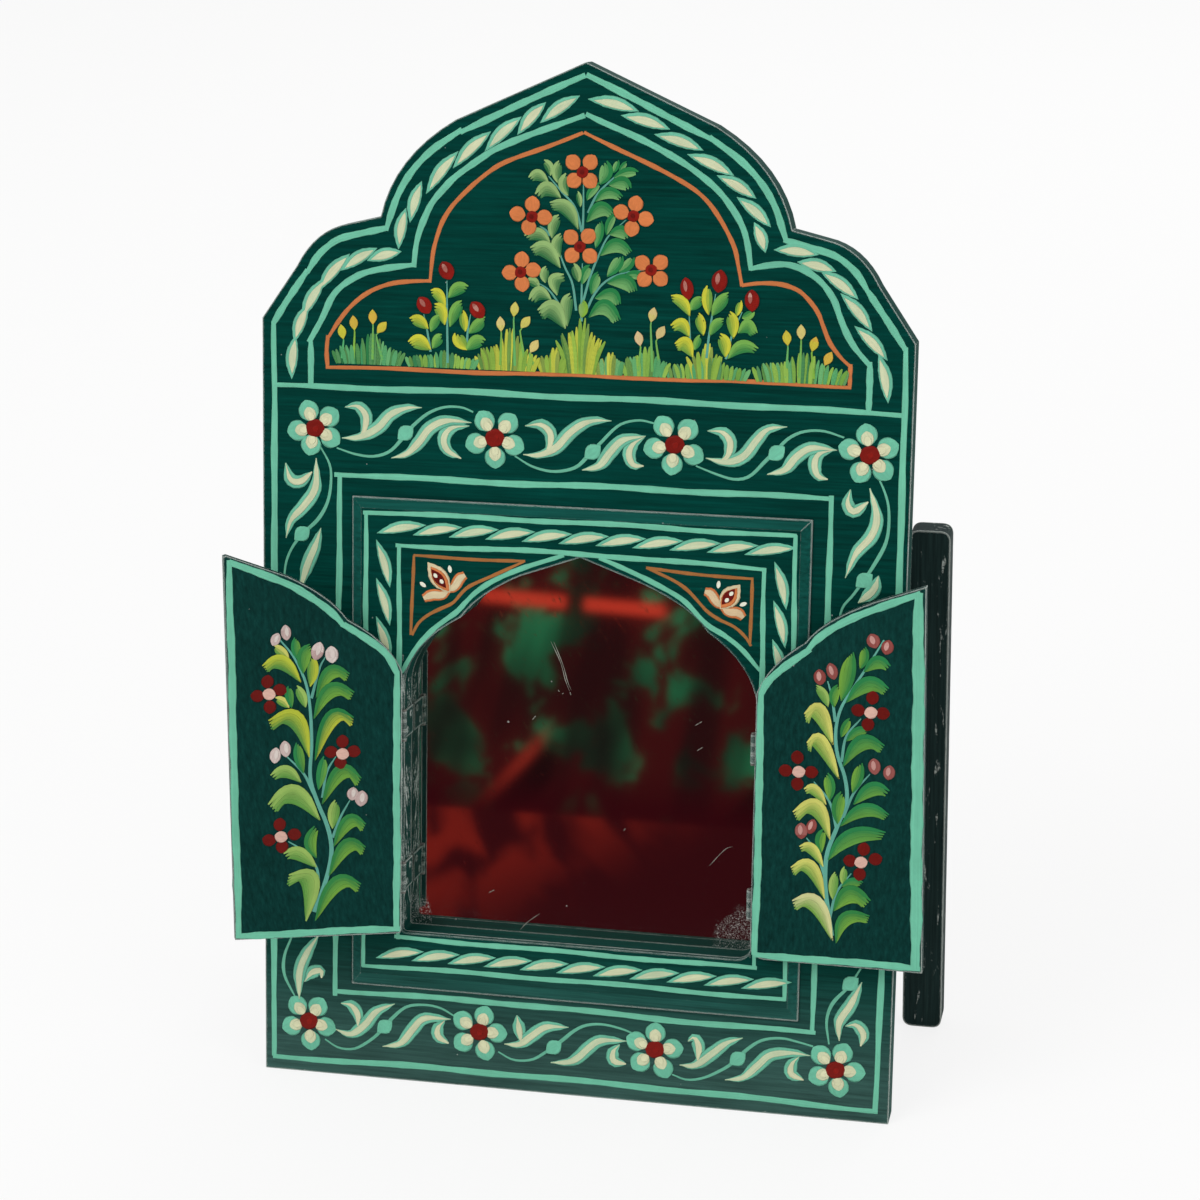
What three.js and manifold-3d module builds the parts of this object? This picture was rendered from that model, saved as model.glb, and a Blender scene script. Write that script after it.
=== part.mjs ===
// A free-standing wooden mirror with two shutters, modelled in millimetres with +Z up and the front facing -Y.
// A flat board with a lobed top leans back on its planed foot. A raised frame is glued to its face, one pointed
// arch is cut through both, the glass sits behind it, and two folding gates behind the board hold it up.
// The panel's own axes are X to the right, Y back through the board and Z up along it, before it leans.
import * as THREE from "three";
import { ConvexGeometry } from "three/addons/geometries/ConvexGeometry.js";
import { mergeVertices } from "three/addons/utils/BufferGeometryUtils.js";
import Module from "manifold-3d";

const wasm = await Module();
wasm.setup();

// ---- Driving dimensions -------------------------------------------------------------------------------------

const leanDegrees = 10; // how far the board leans back
const seatGap = 0.3; // between two pieces that touch

// Board: straight sides up to the shoulders, a low lobe at each side, a notch, and a pointed crown.
const boardWidth = 254;
const boardThick = 10;
const shoulderHeight = 305.5;
const lobeRun = 14; // straight slope from the shoulder, across
const lobeSlopeRise = 20.5; // the same slope, upwards
const lobeTopRun = 35; // shoulder to the lobe's flat top, across
const lobeTopRise = 37.5;
const notchHalfWidth = 79.5;
const notchRise = 40.5; // shoulder to notch
const crownBendHalfWidth = 50; // where the crown's curve runs into its straight slope
const crownBendRise = 37.5; // notch to that bend
const crownRise = 60; // notch to the point

// Arch opening, cut through the raised frame and the board. It is cut by hand, so its two sides differ a little.
const openingWidth = 140.6;
const openingCentre = 1.1; // to the right of the board's middle
const sillHeight = 62.8;
const jambHeight = 101.2; // sill to the spring of the arch
const leftCuspInset = 23.2; // jamb to cusp, across
const rightCuspInset = 20;
const cuspRise = 28.1; // spring to cusp
const archBendHalfWidth = 24; // where the upper curve runs into its straight slope
const archBendRise = 17.5; // cusp to that bend
const archPointRise = 26.2; // cusp to the point
const leftSillRadius = 1.5; // the opening's lower corners
const rightSillRadius = 6.5;

// Raised frame round the opening.
const frameRelief = 2.6;
const frameBevel = 4.2; // width of the sloping edge
const frameFootBevel = 5.6; // the same along the foot
const frameLip = 0.7; // square edge left below the slope
const frameSideMargin = 20.2;
const frameTopMargin = 19.2;
const frameBottomMargin = 23.8;

// Glass and what holds it at the back.
const glassThick = 3;
const glassOverlap = 8; // beyond the opening, all round
const cleatWidth = 10;
const backingThick = 3;
const backingScrewInset = 5;
const screwShankRadius = 1;
const screwShankLength = 9;
const screwHeadRadius = 2.4;
const screwHeadHeight = 1.3;
const screwHoleClearance = 0.15;

// Shutters. The line where they meet leans a little to the right.
const shutterThick = 3.6;
const shutterJambGap = 2.2;
const shutterArchGap = 0.6;
const leftFootGap = 1.5; // shutter to sill
const rightFootGap = 2.7;
const shutterMeetGap = 3.6; // between the two
const meetFootOffset = -0.8; // the meeting line's foot, from the opening's middle
const meetTopOffset = 3;
const leftOpenDegrees = 156.7;
const rightOpenDegrees = 179;

// Small pinned hinges. The knuckles are stacked outer, middle, outer.
const pinRadius = 0.6;
const pinClearance = 0.1;
const knuckleRadius = 1.15;
const knuckleGap = 0.3;
const pinHeadRadius = 1.05;
const pinHeadHeight = 0.5;
const leafThick = 0.6;
const nailHeadRadius = 1.1;
const nailHeadHeight = 0.35;
const shutterHingeHeight = 11.2;
const jambLeafWidth = 11.4;
const shutterLeafWidth = 10;
const hingePinForward = 1.2; // pin axis in front of the frame's face
const hingePinInside = 0.8; // pin axis inside the jamb
const shutterHingeHeights = [23, 85]; // hinge centres above the sill

// Folding gates that hold the board up: a stile on a batten, two rails and a tall round-cornered post.
const battenThick = 8;
const battenWidth = 24;
const battenLength = 236;
const battenFoot = 26; // above the board's foot, along the board
const battenGap = 8.9; // from the backing panel
const stileDepth = 12;
const stileWidth = 11.1;
const stileFoot = 34;
const stileLength = 186;
const railThick = 7.7;
const railTall = 14;
const railHeights = [46, 197]; // rail centres above the table
const postWidth = 16;
const postThick = 10;
const postHeight = 217.5;
const postCorner = 4.3;
const postReach = 80.4; // front foot of the board to the post's face
const standHingeHeight = 22;
const standLeafWidth = 9.5;
const standLeafOffset = 0.5; // pin axis to a leaf's near face
const standHingeHeights = [62, 198]; // hinge centres along the board

const roundSides = 12;
const curveSteps = 8;

// ---- Worked out from them -----------------------------------------------------------------------------------

const lean = THREE.MathUtils.degToRad(leanDegrees);
const notchHeight = shoulderHeight + notchRise;
const openingHalf = openingWidth / 2;
const springHeight = sillHeight + jambHeight;
const cuspHeight = springHeight + cuspRise;
const archPoint = cuspHeight + archPointRise;
const frameFace = -frameRelief;
const boardBack = boardThick;
const glassFront = boardBack + seatGap;
const glassHalf = openingHalf + glassOverlap;
const glassFoot = sillHeight - glassOverlap;
const glassTop = archPoint + glassOverlap;
const cleatThick = glassThick + seatGap;
const cleatInner = glassHalf + seatGap;
const backingFront = glassFront + cleatThick + seatGap;
const backingHalf = cleatInner + cleatWidth;
const backingFoot = glassFoot - seatGap - cleatWidth;
const backingTop = glassTop + seatGap + cleatWidth;
const backingRear = backingFront + backingThick;
const pinInset = openingHalf - hingePinInside; // from the opening's middle
const pinY = frameFace - hingePinForward;
const shutterLeafOffset = 0; // pin axis to the shutter leaf's near face
const shutterFront = shutterLeafOffset + leafThick + seatGap; // closed, behind the pin axis
const battenInner = openingCentre + backingHalf + battenGap;
const battenFront = boardBack + seatGap;
const battenRear = battenFront + battenThick;
const standPinX = battenInner + standLeafWidth + knuckleRadius + knuckleGap;
const standPinY = battenRear + seatGap + standLeafOffset + leafThick;
const stileInner = standPinX + standLeafOffset + leafThick + seatGap;
const stileFront = battenRear + seatGap;
const stileRear = stileFront + stileDepth;
const stileOuter = stileInner + stileWidth;
const postInner = stileOuter + seatGap;
const footCentre = boardThick / Math.cos(lean) / 2; // the planed foot runs this far each side of the origin

// ---- Solids -------------------------------------------------------------------------------------------------

const toSolid = (geometry) => {
  const bare = geometry.clone();
  bare.deleteAttribute("normal");
  bare.deleteAttribute("uv");
  const merged = mergeVertices(bare, 1e-4);
  const vertProperties = new Float32Array(merged.attributes.position.array);
  const triVerts = new Uint32Array(merged.index.array);
  return new wasm.Manifold(new wasm.Mesh({ numProp: 3, vertProperties, triVerts }));
};

const toGeometry = (solid) => {
  const mesh = solid.getMesh();
  const geometry = new THREE.BufferGeometry();
  geometry.setAttribute("position", new THREE.BufferAttribute(mesh.vertProperties, 3));
  geometry.setIndex(new THREE.BufferAttribute(mesh.triVerts, 1));
  geometry.computeVertexNormals();
  return geometry;
};

const joined = (first, ...others) => others.reduce((sum, next) => sum.add(next), first);

// An upright outline of (x, z) points, made solid from yFront back to yRear.
const slab = (shape, yFront, yRear) => {
  const geometry = new THREE.ExtrudeGeometry(shape, { depth: yRear - yFront, bevelEnabled: false, steps: 1 });
  return geometry.rotateX(Math.PI / 2).translate(0, yRear, 0);
};

const block = (low, high) => {
  const size = high.map((value, axis) => value - low[axis]);
  const centre = high.map((value, axis) => (value + low[axis]) / 2);
  return new THREE.BoxGeometry(...size).translate(...centre);
};

// A round bar from one point to another along one axis.
const bar = (radius, from, to) => {
  const start = new THREE.Vector3(...from);
  const along = new THREE.Vector3(...to).sub(start);
  const geometry = new THREE.CylinderGeometry(radius, radius, along.length(), roundSides);
  const turn = new THREE.Quaternion().setFromUnitVectors(new THREE.Vector3(0, 1, 0), along.clone().normalize());
  const middle = start.clone().addScaledVector(along, 0.5);
  return geometry.applyQuaternion(turn).translate(middle.x, middle.y, middle.z);
};

// Both sides of a symmetric outline, from its right half listed from the foot up to the point on the axis.
const mirroredShape = (rightHalf) => {
  const left = rightHalf.filter((point) => point.x > 0).map((point) => new THREE.Vector2(-point.x, point.y));
  return new THREE.Shape([...rightHalf, ...left.reverse()]);
};

const curvePoints = (start, control, end) => {
  const curve = new THREE.QuadraticBezierCurve(
    new THREE.Vector2(...start), new THREE.Vector2(...control), new THREE.Vector2(...end),
  );
  return curve.getPoints(curveSteps);
};

// ---- Outlines -----------------------------------------------------------------------------------------------

const boardOutline = () => {
  const side = boardWidth / 2;
  const lobeCurve = curvePoints(
    [side - lobeRun, shoulderHeight + lobeSlopeRise],
    [side - lobeRun - 7.5, shoulderHeight + lobeTopRise - 2.5],
    [side - lobeTopRun, shoulderHeight + lobeTopRise],
  );
  const crownCurve = curvePoints(
    [notchHalfWidth, notchHeight],
    [notchHalfWidth - 5, notchHeight + 23],
    [crownBendHalfWidth, notchHeight + crownBendRise],
  );
  return mirroredShape([
    new THREE.Vector2(side, 0),
    new THREE.Vector2(side, shoulderHeight),
    ...lobeCurve,
    ...crownCurve,
    new THREE.Vector2(0, notchHeight + crownRise),
  ]);
};

// One edge of the opening, from the spring up to the point, as distances from the opening's middle.
const archCurve = (cuspInset) => {
  const cusp = [openingHalf - cuspInset, cuspHeight];
  const lobe = curvePoints([openingHalf, springHeight], [openingHalf - 1.8, cuspHeight - 12], cusp);
  const upper = curvePoints(
    cusp, [cusp[0] - 6.3, cuspHeight + 9.4], [archBendHalfWidth, cuspHeight + archBendRise],
  );
  return [...lobe, ...upper.slice(1), new THREE.Vector2(0, archPoint)];
};

// A lower corner of the opening, from the foot round to the side.
const footCorner = (radius, outer, foot) => curvePoints([outer - radius, foot], [outer, foot], [outer, foot + radius]);

// The whole arch from the right spring over the point to the left spring.
const archPoints = () => {
  const left = archCurve(leftCuspInset).slice(0, -1).map((point) => new THREE.Vector2(-point.x, point.y));
  return [...archCurve(rightCuspInset), ...left.reverse()];
};

const openingOutline = () => {
  const left = footCorner(leftSillRadius, openingHalf, sillHeight);
  return new THREE.Shape([
    ...footCorner(rightSillRadius, openingHalf, sillHeight),
    ...archPoints(),
    ...left.map((point) => new THREE.Vector2(-point.x, point.y)).reverse(),
  ]);
};

// Each point moves inwards, square to the line through its neighbours.
const movedInwards = (points, distance) => points.map((point, index) => {
  const before = points[Math.max(index - 1, 0)];
  const after = points[Math.min(index + 1, points.length - 1)];
  const along = after.clone().sub(before).normalize();
  return new THREE.Vector2(point.x - along.y * distance, point.y + along.x * distance);
});

// Where the shutters meet, at a height, as a distance to the right of the opening's middle.
const meetOffsetAt = (height) => THREE.MathUtils.mapLinear(
  height, sillHeight, archPoint, meetFootOffset, meetTopOffset,
);

// A shutter, closed, as the part of the opening between its hinge edge and the meeting line.
const shutterSolid = (side) => {
  const arch = movedInwards(archPoints(), shutterArchGap);
  const under = new THREE.Shape([
    new THREE.Vector2(-openingHalf, 0), new THREE.Vector2(openingHalf, 0), ...arch,
  ]);
  const footGap = side > 0 ? rightFootGap : leftFootGap;
  const radius = side > 0 ? rightSillRadius : leftSillRadius;
  const foot = sillHeight + footGap;
  const outer = openingHalf - shutterJambGap;
  const corner = footCorner(radius, outer, foot).map((point) => new THREE.Vector2(side * point.x, point.y));
  const meetAt = (height) => new THREE.Vector2(meetOffsetAt(height) + (side * shutterMeetGap) / 2, height);
  const bounds = [meetAt(foot), ...corner, new THREE.Vector2(side * outer, archPoint), meetAt(archPoint)];
  const half = new THREE.Shape(side > 0 ? bounds : bounds.reverse());
  const front = pinY + shutterFront;
  const rear = front + shutterThick;
  return toSolid(slab(under, front, rear)).intersect(toSolid(slab(half, front, rear)));
};

const roundedPost = () => {
  const [low, high] = [postInner, postInner + postWidth];
  const shape = new THREE.Shape();
  shape.moveTo(low + postCorner, 0);
  shape.lineTo(high - postCorner, 0);
  shape.quadraticCurveTo(high, 0, high, postCorner);
  shape.lineTo(high, postHeight - postCorner);
  shape.quadraticCurveTo(high, postHeight, high - postCorner, postHeight);
  shape.lineTo(low + postCorner, postHeight);
  shape.quadraticCurveTo(low, postHeight, low, postHeight - postCorner);
  shape.lineTo(low, postCorner);
  shape.quadraticCurveTo(low, 0, low + postCorner, 0);
  return shape;
};

// ---- Pieces of the panel ------------------------------------------------------------------------------------

const openingSolid = () => toSolid(
  slab(openingOutline(), frameFace - 1, boardBack + 1).translate(openingCentre, 0, 0),
);

const screwPlaces = [-1, 1].flatMap((side) => [backingFoot, (backingFoot + backingTop) / 2, backingTop].map(
  (height) => {
    const inset = height === backingFoot ? backingScrewInset : height === backingTop ? -backingScrewInset : 0;
    return [openingCentre + side * (backingHalf - backingScrewInset), height + inset];
  },
));

const screwHole = ([x, z]) => toSolid(bar(
  screwShankRadius + screwHoleClearance,
  [x, backingRear - screwShankLength - screwHoleClearance, z],
  [x, backingRear + 1, z],
));

const drilled = (solid) => screwPlaces.reduce((rest, place) => rest.subtract(screwHole(place)), solid);

const makeBoard = () => {
  const geometry = slab(boardOutline(), 0, boardBack);
  const position = geometry.attributes.position;
  for (let index = 0; index < position.count; index += 1) {
    // The foot is planed to the lean, so that it stands flat on the table.
    if (position.getZ(index) === 0) position.setZ(index, position.getY(index) * Math.tan(lean));
  }
  return toGeometry(drilled(toSolid(geometry).subtract(openingSolid())));
};

const makeRaisedFrame = () => {
  const half = openingHalf + frameSideMargin;
  const [foot, top] = [sillHeight - frameBottomMargin, archPoint + frameTopMargin];
  const ring = (inset, footInset, y) => [-1, 1].flatMap((side) => [
    new THREE.Vector3(side * (half - inset), y, foot + footInset),
    new THREE.Vector3(side * (half - inset), y, top - inset),
  ]);
  const rings = [
    ...ring(0, 0, -seatGap), ...ring(0, 0, -frameLip), ...ring(frameBevel, frameFootBevel, frameFace),
  ];
  return toGeometry(toSolid(new ConvexGeometry(rings)).subtract(openingSolid()));
};

const makeScrew = ([x, z]) => toGeometry(joined(
  toSolid(bar(screwShankRadius, [x, backingRear - screwShankLength, z], [x, backingRear + screwHeadHeight, z])),
  toSolid(bar(screwHeadRadius, [x, backingRear + seatGap, z], [x, backingRear + seatGap + screwHeadHeight, z])),
));

// ---- Hinges -------------------------------------------------------------------------------------------------

// Knuckles along the pin, as [low, high] heights about the hinge's middle.
const knuckleSpans = (height) => {
  const middle = (height - 2 * knuckleGap) / 3;
  const half = height / 2;
  return { middle: [[-middle / 2, middle / 2]], outer: [[-half, -half + middle], [half - middle, half]] };
};

// One leaf about its pin, which is the local Z axis. Its plate reaches along +X, with its near face at offset
// along Y, and short tabs carry it to its knuckles. Its nail heads stand on the far side from the wood.
const makeLeaf = ({ height, spans, reach, width, offset, nailSide }) => {
  const far = offset + leafThick;
  const plateStart = knuckleRadius + knuckleGap;
  const tabStart = offset > 0 ? -0.4 : pinRadius + pinClearance + 0.2;
  let leaf = toSolid(block([plateStart, offset, -height / 2], [reach, far, height / 2]));
  for (const [low, high] of spans) {
    leaf = leaf.add(toSolid(block([tabStart, offset, low], [plateStart + 0.2, far, high])));
    leaf = leaf.add(toSolid(bar(knuckleRadius, [0, 0, low], [0, 0, high])));
  }
  for (const end of [-1, 1]) {
    const x = reach - width / 2 + (end * width) / 5;
    const z = (end * height) / 4;
    const face = nailSide > 0 ? far : offset;
    const top = face + nailSide * nailHeadHeight;
    leaf = leaf.add(toSolid(bar(nailHeadRadius, [x, face - nailSide * 0.2, z], [x, top, z])));
  }
  const bore = bar(pinRadius + pinClearance, [0, 0, -height], [0, 0, height]);
  return toGeometry(leaf.subtract(toSolid(bore)));
};

const makePin = (height) => {
  const end = height / 2;
  const heads = [-1, 1].map((side) => toSolid(bar(
    pinHeadRadius, [0, 0, side * (end + knuckleGap)], [0, 0, side * (end + knuckleGap + pinHeadHeight)],
  )));
  const shank = toSolid(bar(pinRadius, [0, 0, -end - knuckleGap - 0.1], [0, 0, end + knuckleGap + 0.1]));
  return toGeometry(joined(shank, ...heads));
};

// ---- Finishes -----------------------------------------------------------------------------------------------

const paint = (colour, roughness) => new THREE.MeshStandardMaterial({ color: colour, roughness, metalness: 0 });
const greenPaint = paint(0x06382f, 0.4);
const mintEdgePaint = paint(0x0a4538, 0.42);
const bareWood = paint(0x8a6a48, 0.8);
const paintedIron = new THREE.MeshStandardMaterial({ color: 0x1d4a3c, roughness: 0.5, metalness: 0.6 });
const bareIron = new THREE.MeshStandardMaterial({ color: 0x77736c, roughness: 0.45, metalness: 0.9 });
const mirrorGlass = new THREE.MeshStandardMaterial({ color: 0xd8dedb, roughness: 0.05, metalness: 1 });

// ---- Assembly -----------------------------------------------------------------------------------------------

const stand = new THREE.Group(); // the table's frame: the origin is the middle of the board's foot
const panel = new THREE.Group(); // leans back on its front foot edge
panel.rotation.x = -lean;
panel.position.y = -footCentre;
const uprights = new THREE.Group(); // the gates' level and plumb pieces
uprights.position.y = -footCentre;
stand.add(panel, uprights);

const place = (parent, name, geometry, material, position = [0, 0, 0]) => {
  const mesh = new THREE.Mesh(geometry, material);
  mesh.name = name;
  mesh.position.set(...position);
  parent.add(mesh);
  return mesh;
};

const mirroredX = (geometry) => toGeometry(toSolid(geometry).mirror([1, 0, 0]));
const handed = (geometry, side) => (side > 0 ? geometry : mirroredX(geometry));
const sideName = (side) => (side > 0 ? "right" : "left");

const addPanel = () => {
  place(panel, "base_board", makeBoard(), greenPaint);
  place(panel, "raised_frame", makeRaisedFrame(), mintEdgePaint);
  const [left, right] = [openingCentre - glassHalf, openingCentre + glassHalf];
  const [backLeft, backRight] = [openingCentre - backingHalf, openingCentre + backingHalf];
  place(panel, "mirror_glass", block([left, glassFront, glassFoot], [right, glassFront + glassThick, glassTop]),
    mirrorGlass);
  const cleatRear = glassFront + cleatThick;
  const cleats = {
    cleat_bottom: [[backLeft, backingFoot], [backRight, glassFoot - seatGap]],
    cleat_top: [[backLeft, glassTop + seatGap], [backRight, backingTop]],
    cleat_left: [[backLeft, glassFoot], [left - seatGap, glassTop]],
    cleat_right: [[right + seatGap, glassFoot], [backRight, glassTop]],
  };
  for (const [name, [low, high]] of Object.entries(cleats)) {
    const solid = toSolid(block([low[0], glassFront, low[1]], [high[0], cleatRear, high[1]]));
    place(panel, name, toGeometry(drilled(solid)), bareWood);
  }
  const backing = toSolid(block([backLeft, backingFront, backingFoot], [backRight, backingRear, backingTop]));
  place(panel, "backing_panel", toGeometry(drilled(backing)), bareWood);
  screwPlaces.forEach((at, index) => place(panel, `backing_screw_${index + 1}`, makeScrew(at), bareIron));
};

const addShutter = (side, openDegrees) => {
  const name = sideName(side);
  const pinX = openingCentre + side * pinInset;
  const hung = new THREE.Group();
  hung.position.set(pinX, pinY, 0);
  hung.rotation.z = side * THREE.MathUtils.degToRad(openDegrees);
  panel.add(hung);
  place(hung, `shutter_${name}`, toGeometry(shutterSolid(side)), greenPaint, [-side * pinInset, -pinY, 0]);

  const spans = knuckleSpans(shutterHingeHeight);
  const jambLeaf = makeLeaf({
    height: shutterHingeHeight, spans: spans.outer, offset: seatGap - hingePinInside, nailSide: 1,
    reach: knuckleRadius + knuckleGap + jambLeafWidth, width: jambLeafWidth,
  });
  const shutterLeaf = makeLeaf({
    height: shutterHingeHeight, spans: spans.middle, offset: shutterLeafOffset, nailSide: -1,
    reach: knuckleRadius + knuckleGap + shutterLeafWidth, width: shutterLeafWidth,
  });
  shutterHingeHeights.forEach((height, index) => {
    const at = [pinX, pinY, sillHeight + height];
    const label = index === 0 ? "lower" : "upper";
    const fixed = handed(jambLeaf.clone().rotateZ(Math.PI / 2), side);
    place(panel, `hinge_${name}_${label}_jamb_leaf`, fixed, paintedIron, at);
    place(panel, `hinge_${name}_${label}_pin`, makePin(shutterHingeHeight), paintedIron, at);
    const moving = side > 0 ? mirroredX(shutterLeaf) : shutterLeaf;
    place(hung, `hinge_${name}_${label}_shutter_leaf`, moving, paintedIron, [0, 0, at[2]]);
  });
};

const addGate = (side) => {
  const name = sideName(side);
  place(panel, `batten_${name}`, handed(block(
    [battenInner, battenFront, battenFoot], [battenInner + battenWidth, battenRear, battenFoot + battenLength],
  ), side), greenPaint);
  place(panel, `gate_${name}_stile`, handed(block(
    [stileInner, stileFront, stileFoot], [stileOuter, stileRear, stileFoot + stileLength],
  ), side), greenPaint);

  const postRear = postReach + postThick;
  railHeights.forEach((centre, index) => {
    const [low, high] = [centre - railTall / 2, centre + railTall / 2];
    // A rail is level, and its front end is cut to the leaning stile.
    const stileFaceAt = (z) => (stileRear + seatGap) / Math.cos(lean) + z * Math.tan(lean);
    const outline = new THREE.Shape([
      new THREE.Vector2(stileFaceAt(low), low), new THREE.Vector2(postRear, low),
      new THREE.Vector2(postRear, high), new THREE.Vector2(stileFaceAt(high), high),
    ]);
    const rail = new THREE.ExtrudeGeometry(outline, { depth: railThick, bevelEnabled: false, steps: 1 });
    // The outline's axes turn to Y and Z, and the thickness runs along X.
    const turned = rail.applyMatrix4(new THREE.Matrix4().makeBasis(
      new THREE.Vector3(0, 1, 0), new THREE.Vector3(0, 0, 1), new THREE.Vector3(1, 0, 0),
    )).translate(stileOuter - railThick, 0, 0);
    place(uprights, `gate_${name}_rail_${index === 0 ? "lower" : "upper"}`, handed(turned, side), greenPaint);
  });
  place(uprights, `gate_${name}_post`, handed(slab(roundedPost(), postReach, postRear), side), greenPaint);

  const spans = knuckleSpans(standHingeHeight);
  const shared = {
    height: standHingeHeight, offset: standLeafOffset, nailSide: -1,
    reach: knuckleRadius + knuckleGap + standLeafWidth, width: standLeafWidth,
  };
  // The batten leaf reaches inwards, and the gate leaf reaches back along the stile.
  const battenLeaf = makeLeaf({ ...shared, spans: spans.outer }).rotateZ(Math.PI);
  const gateLeaf = mirroredX(makeLeaf({ ...shared, spans: spans.middle })).rotateZ(-Math.PI / 2);
  standHingeHeights.forEach((height, index) => {
    const at = [side * standPinX, standPinY, height];
    const label = index === 0 ? "lower" : "upper";
    place(panel, `gate_${name}_${label}_batten_leaf`, handed(battenLeaf, side), bareIron, at);
    place(panel, `gate_${name}_${label}_gate_leaf`, handed(gateLeaf, side), bareIron, at);
    place(panel, `gate_${name}_${label}_pin`, makePin(standHingeHeight), bareIron, at);
  });
};

addPanel();
addShutter(-1, leftOpenDegrees);
addShutter(1, rightOpenDegrees);
addGate(-1);
addGate(1);

export default stand;
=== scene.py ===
"""Finishes, painted ornament, stage and camera for a free-standing mirror with two painted shutters."""
import math

import bpy
from bpy.props import FloatProperty, FloatVectorProperty, PointerProperty
from mathutils import Matrix, Vector


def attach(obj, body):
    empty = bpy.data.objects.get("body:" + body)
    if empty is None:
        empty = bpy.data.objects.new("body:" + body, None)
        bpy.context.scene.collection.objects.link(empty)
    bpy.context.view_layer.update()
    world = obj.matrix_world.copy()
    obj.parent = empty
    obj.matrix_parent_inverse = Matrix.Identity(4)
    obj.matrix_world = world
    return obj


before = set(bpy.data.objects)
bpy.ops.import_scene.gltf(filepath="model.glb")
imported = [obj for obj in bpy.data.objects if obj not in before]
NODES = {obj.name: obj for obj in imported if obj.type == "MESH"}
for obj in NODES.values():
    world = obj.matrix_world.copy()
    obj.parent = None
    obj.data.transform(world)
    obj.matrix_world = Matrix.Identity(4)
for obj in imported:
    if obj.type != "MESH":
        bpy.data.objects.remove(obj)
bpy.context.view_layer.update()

bl_info = {
    "name": "Painted shutter mirror",
    "version": (1, 0, 0),
    "blender": (4, 5, 0),
    "location": "3D View > Sidebar > Shutter mirror",
    "description": "Paints the board, the raised frame, the shutters and the stand of a small shutter mirror",
    "category": "Object",
}

MM = 0.001
LEAN = math.radians(10)
SHUTTER_OPEN = {"left": 156.7, "right": 179.0}
SHUTTER_PIN = {"left": (-68.4, -3.8), "right": (70.6, -3.8)}


def ink(red, green, blue):
    """A colour written as it looks on screen, turned into the light it stands for."""
    parts = (red / 255, green / 255, blue / 255)
    return tuple(c / 12.92 if c <= 0.04045 else ((c + 0.055) / 1.055) ** 2.4 for c in parts)


def colour_prop(name, description, value):
    return FloatVectorProperty(
        name=name, description=description, subtype="COLOR", size=3, min=0, max=1, default=ink(*value))


def size_prop(name, description, value, low, high, unit="NONE"):
    return FloatProperty(name=name, description=description, default=value, min=low, max=high, unit=unit)


class ShutterMirrorPaints(bpy.types.PropertyGroup):
    """Every tint the painter used."""
    ground: colour_prop("Ground", "Dark green ground under the ornament", (0, 58, 51))
    night: colour_prop("Night", "Darker, bluer ground of the shutters", (11, 54, 50))
    smoke: colour_prop("Smoke", "Greyed ground of the stand", (34, 51, 50))
    mint: colour_prop("Mint", "Border lines, vines and outer petals", (112, 194, 163))
    cream: colour_prop("Cream", "Highlights on leaves and petals", (214, 214, 176))
    orange: colour_prop("Orange", "Arch line round the garden and the corner triangles", (204, 120, 68))
    ochre: colour_prop("Ochre", "Thin triangles in the corners over the glass", (172, 110, 56))
    coral: colour_prop("Coral", "Petals of the bouquet", (214, 124, 70))
    crimson: colour_prop("Crimson", "Centres of the vine flowers", (140, 20, 8))
    wine: colour_prop("Wine", "Petals on the shutters", (110, 12, 4))
    blush: colour_prop("Blush", "Centres of the shutter flowers", (222, 180, 164))
    leaf: colour_prop("Leaf green", "Shaded side of the leaves", (34, 126, 66))
    lime: colour_prop("Lime", "Light side of the leaves", (134, 180, 60))
    straw: colour_prop("Straw", "Yellow grass and leaf tops", (202, 202, 60))
    sage: colour_prop("Sage", "Greyed leaves of the bouquet", (138, 180, 104))
    jade: colour_prop("Jade", "Cool green grass", (70, 168, 112))
    stem: colour_prop("Stem", "Thin blue-green stems", (96, 168, 150))
    scuff: colour_prop("Scuff", "Bare pale filler where the paint has worn off", (196, 204, 198))
    raw_wood: colour_prop("Bare wood", "Unpainted wood at the back", (150, 112, 72))
    iron: colour_prop("Iron", "Screws and pins", (96, 92, 86))
    silver: colour_prop("Silvering", "Old mirror silver", (206, 210, 206))


class ShutterMirrorSizes(bpy.types.PropertyGroup):
    """Sizes that a user may change without touching the frame."""
    film: size_prop(
        "Paint film", "How proud a brush stroke stands for each millimetre of its half width", 0.022, 0.005, 0.1)
    lift: size_prop("Lift", "Gap between a face and the first stroke on it", 0.00003, 0, 0.0005, "LENGTH")
    coat_step: size_prop("Coat step", "Height of each further coat of strokes", 0.00009, 0.00002, 0.0005, "LENGTH")
    arris: size_prop("Softened arris", "Rounding on the painted wood's edges", 0.0005, 0, 0.002, "LENGTH")
    wobble: size_prop("Hand wobble", "How far a painted line wanders from true", 0.00022, 0, 0.001, "LENGTH")
    lens: size_prop("Lens", "Focal length of the camera in millimetres", 95.43, 20, 300)


def paints():
    return bpy.context.scene.shutter_mirror_paints


def sizes():
    return bpy.context.scene.shutter_mirror_sizes


# ---- Faces that carry paint ---------------------------------------------------------------------------------

FACE_SHIFT = -5.077
TO_ROOM = Matrix((
    (1, 0, 0, 0),
    (0, math.cos(LEAN), math.sin(LEAN), FACE_SHIFT * MM),
    (0, -math.sin(LEAN), math.cos(LEAN), 0),
    (0, 0, 0, 1),
))
INNER_FACE, OUTER_FACE = 4.5, 0.9
# How deep the face of the frame and of the glass lie behind the board's own, and where the grass starts.
FRAME_FACE, GLASS_FACE, GRASS_FOOT = -2.6, 10.3, 289


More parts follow.
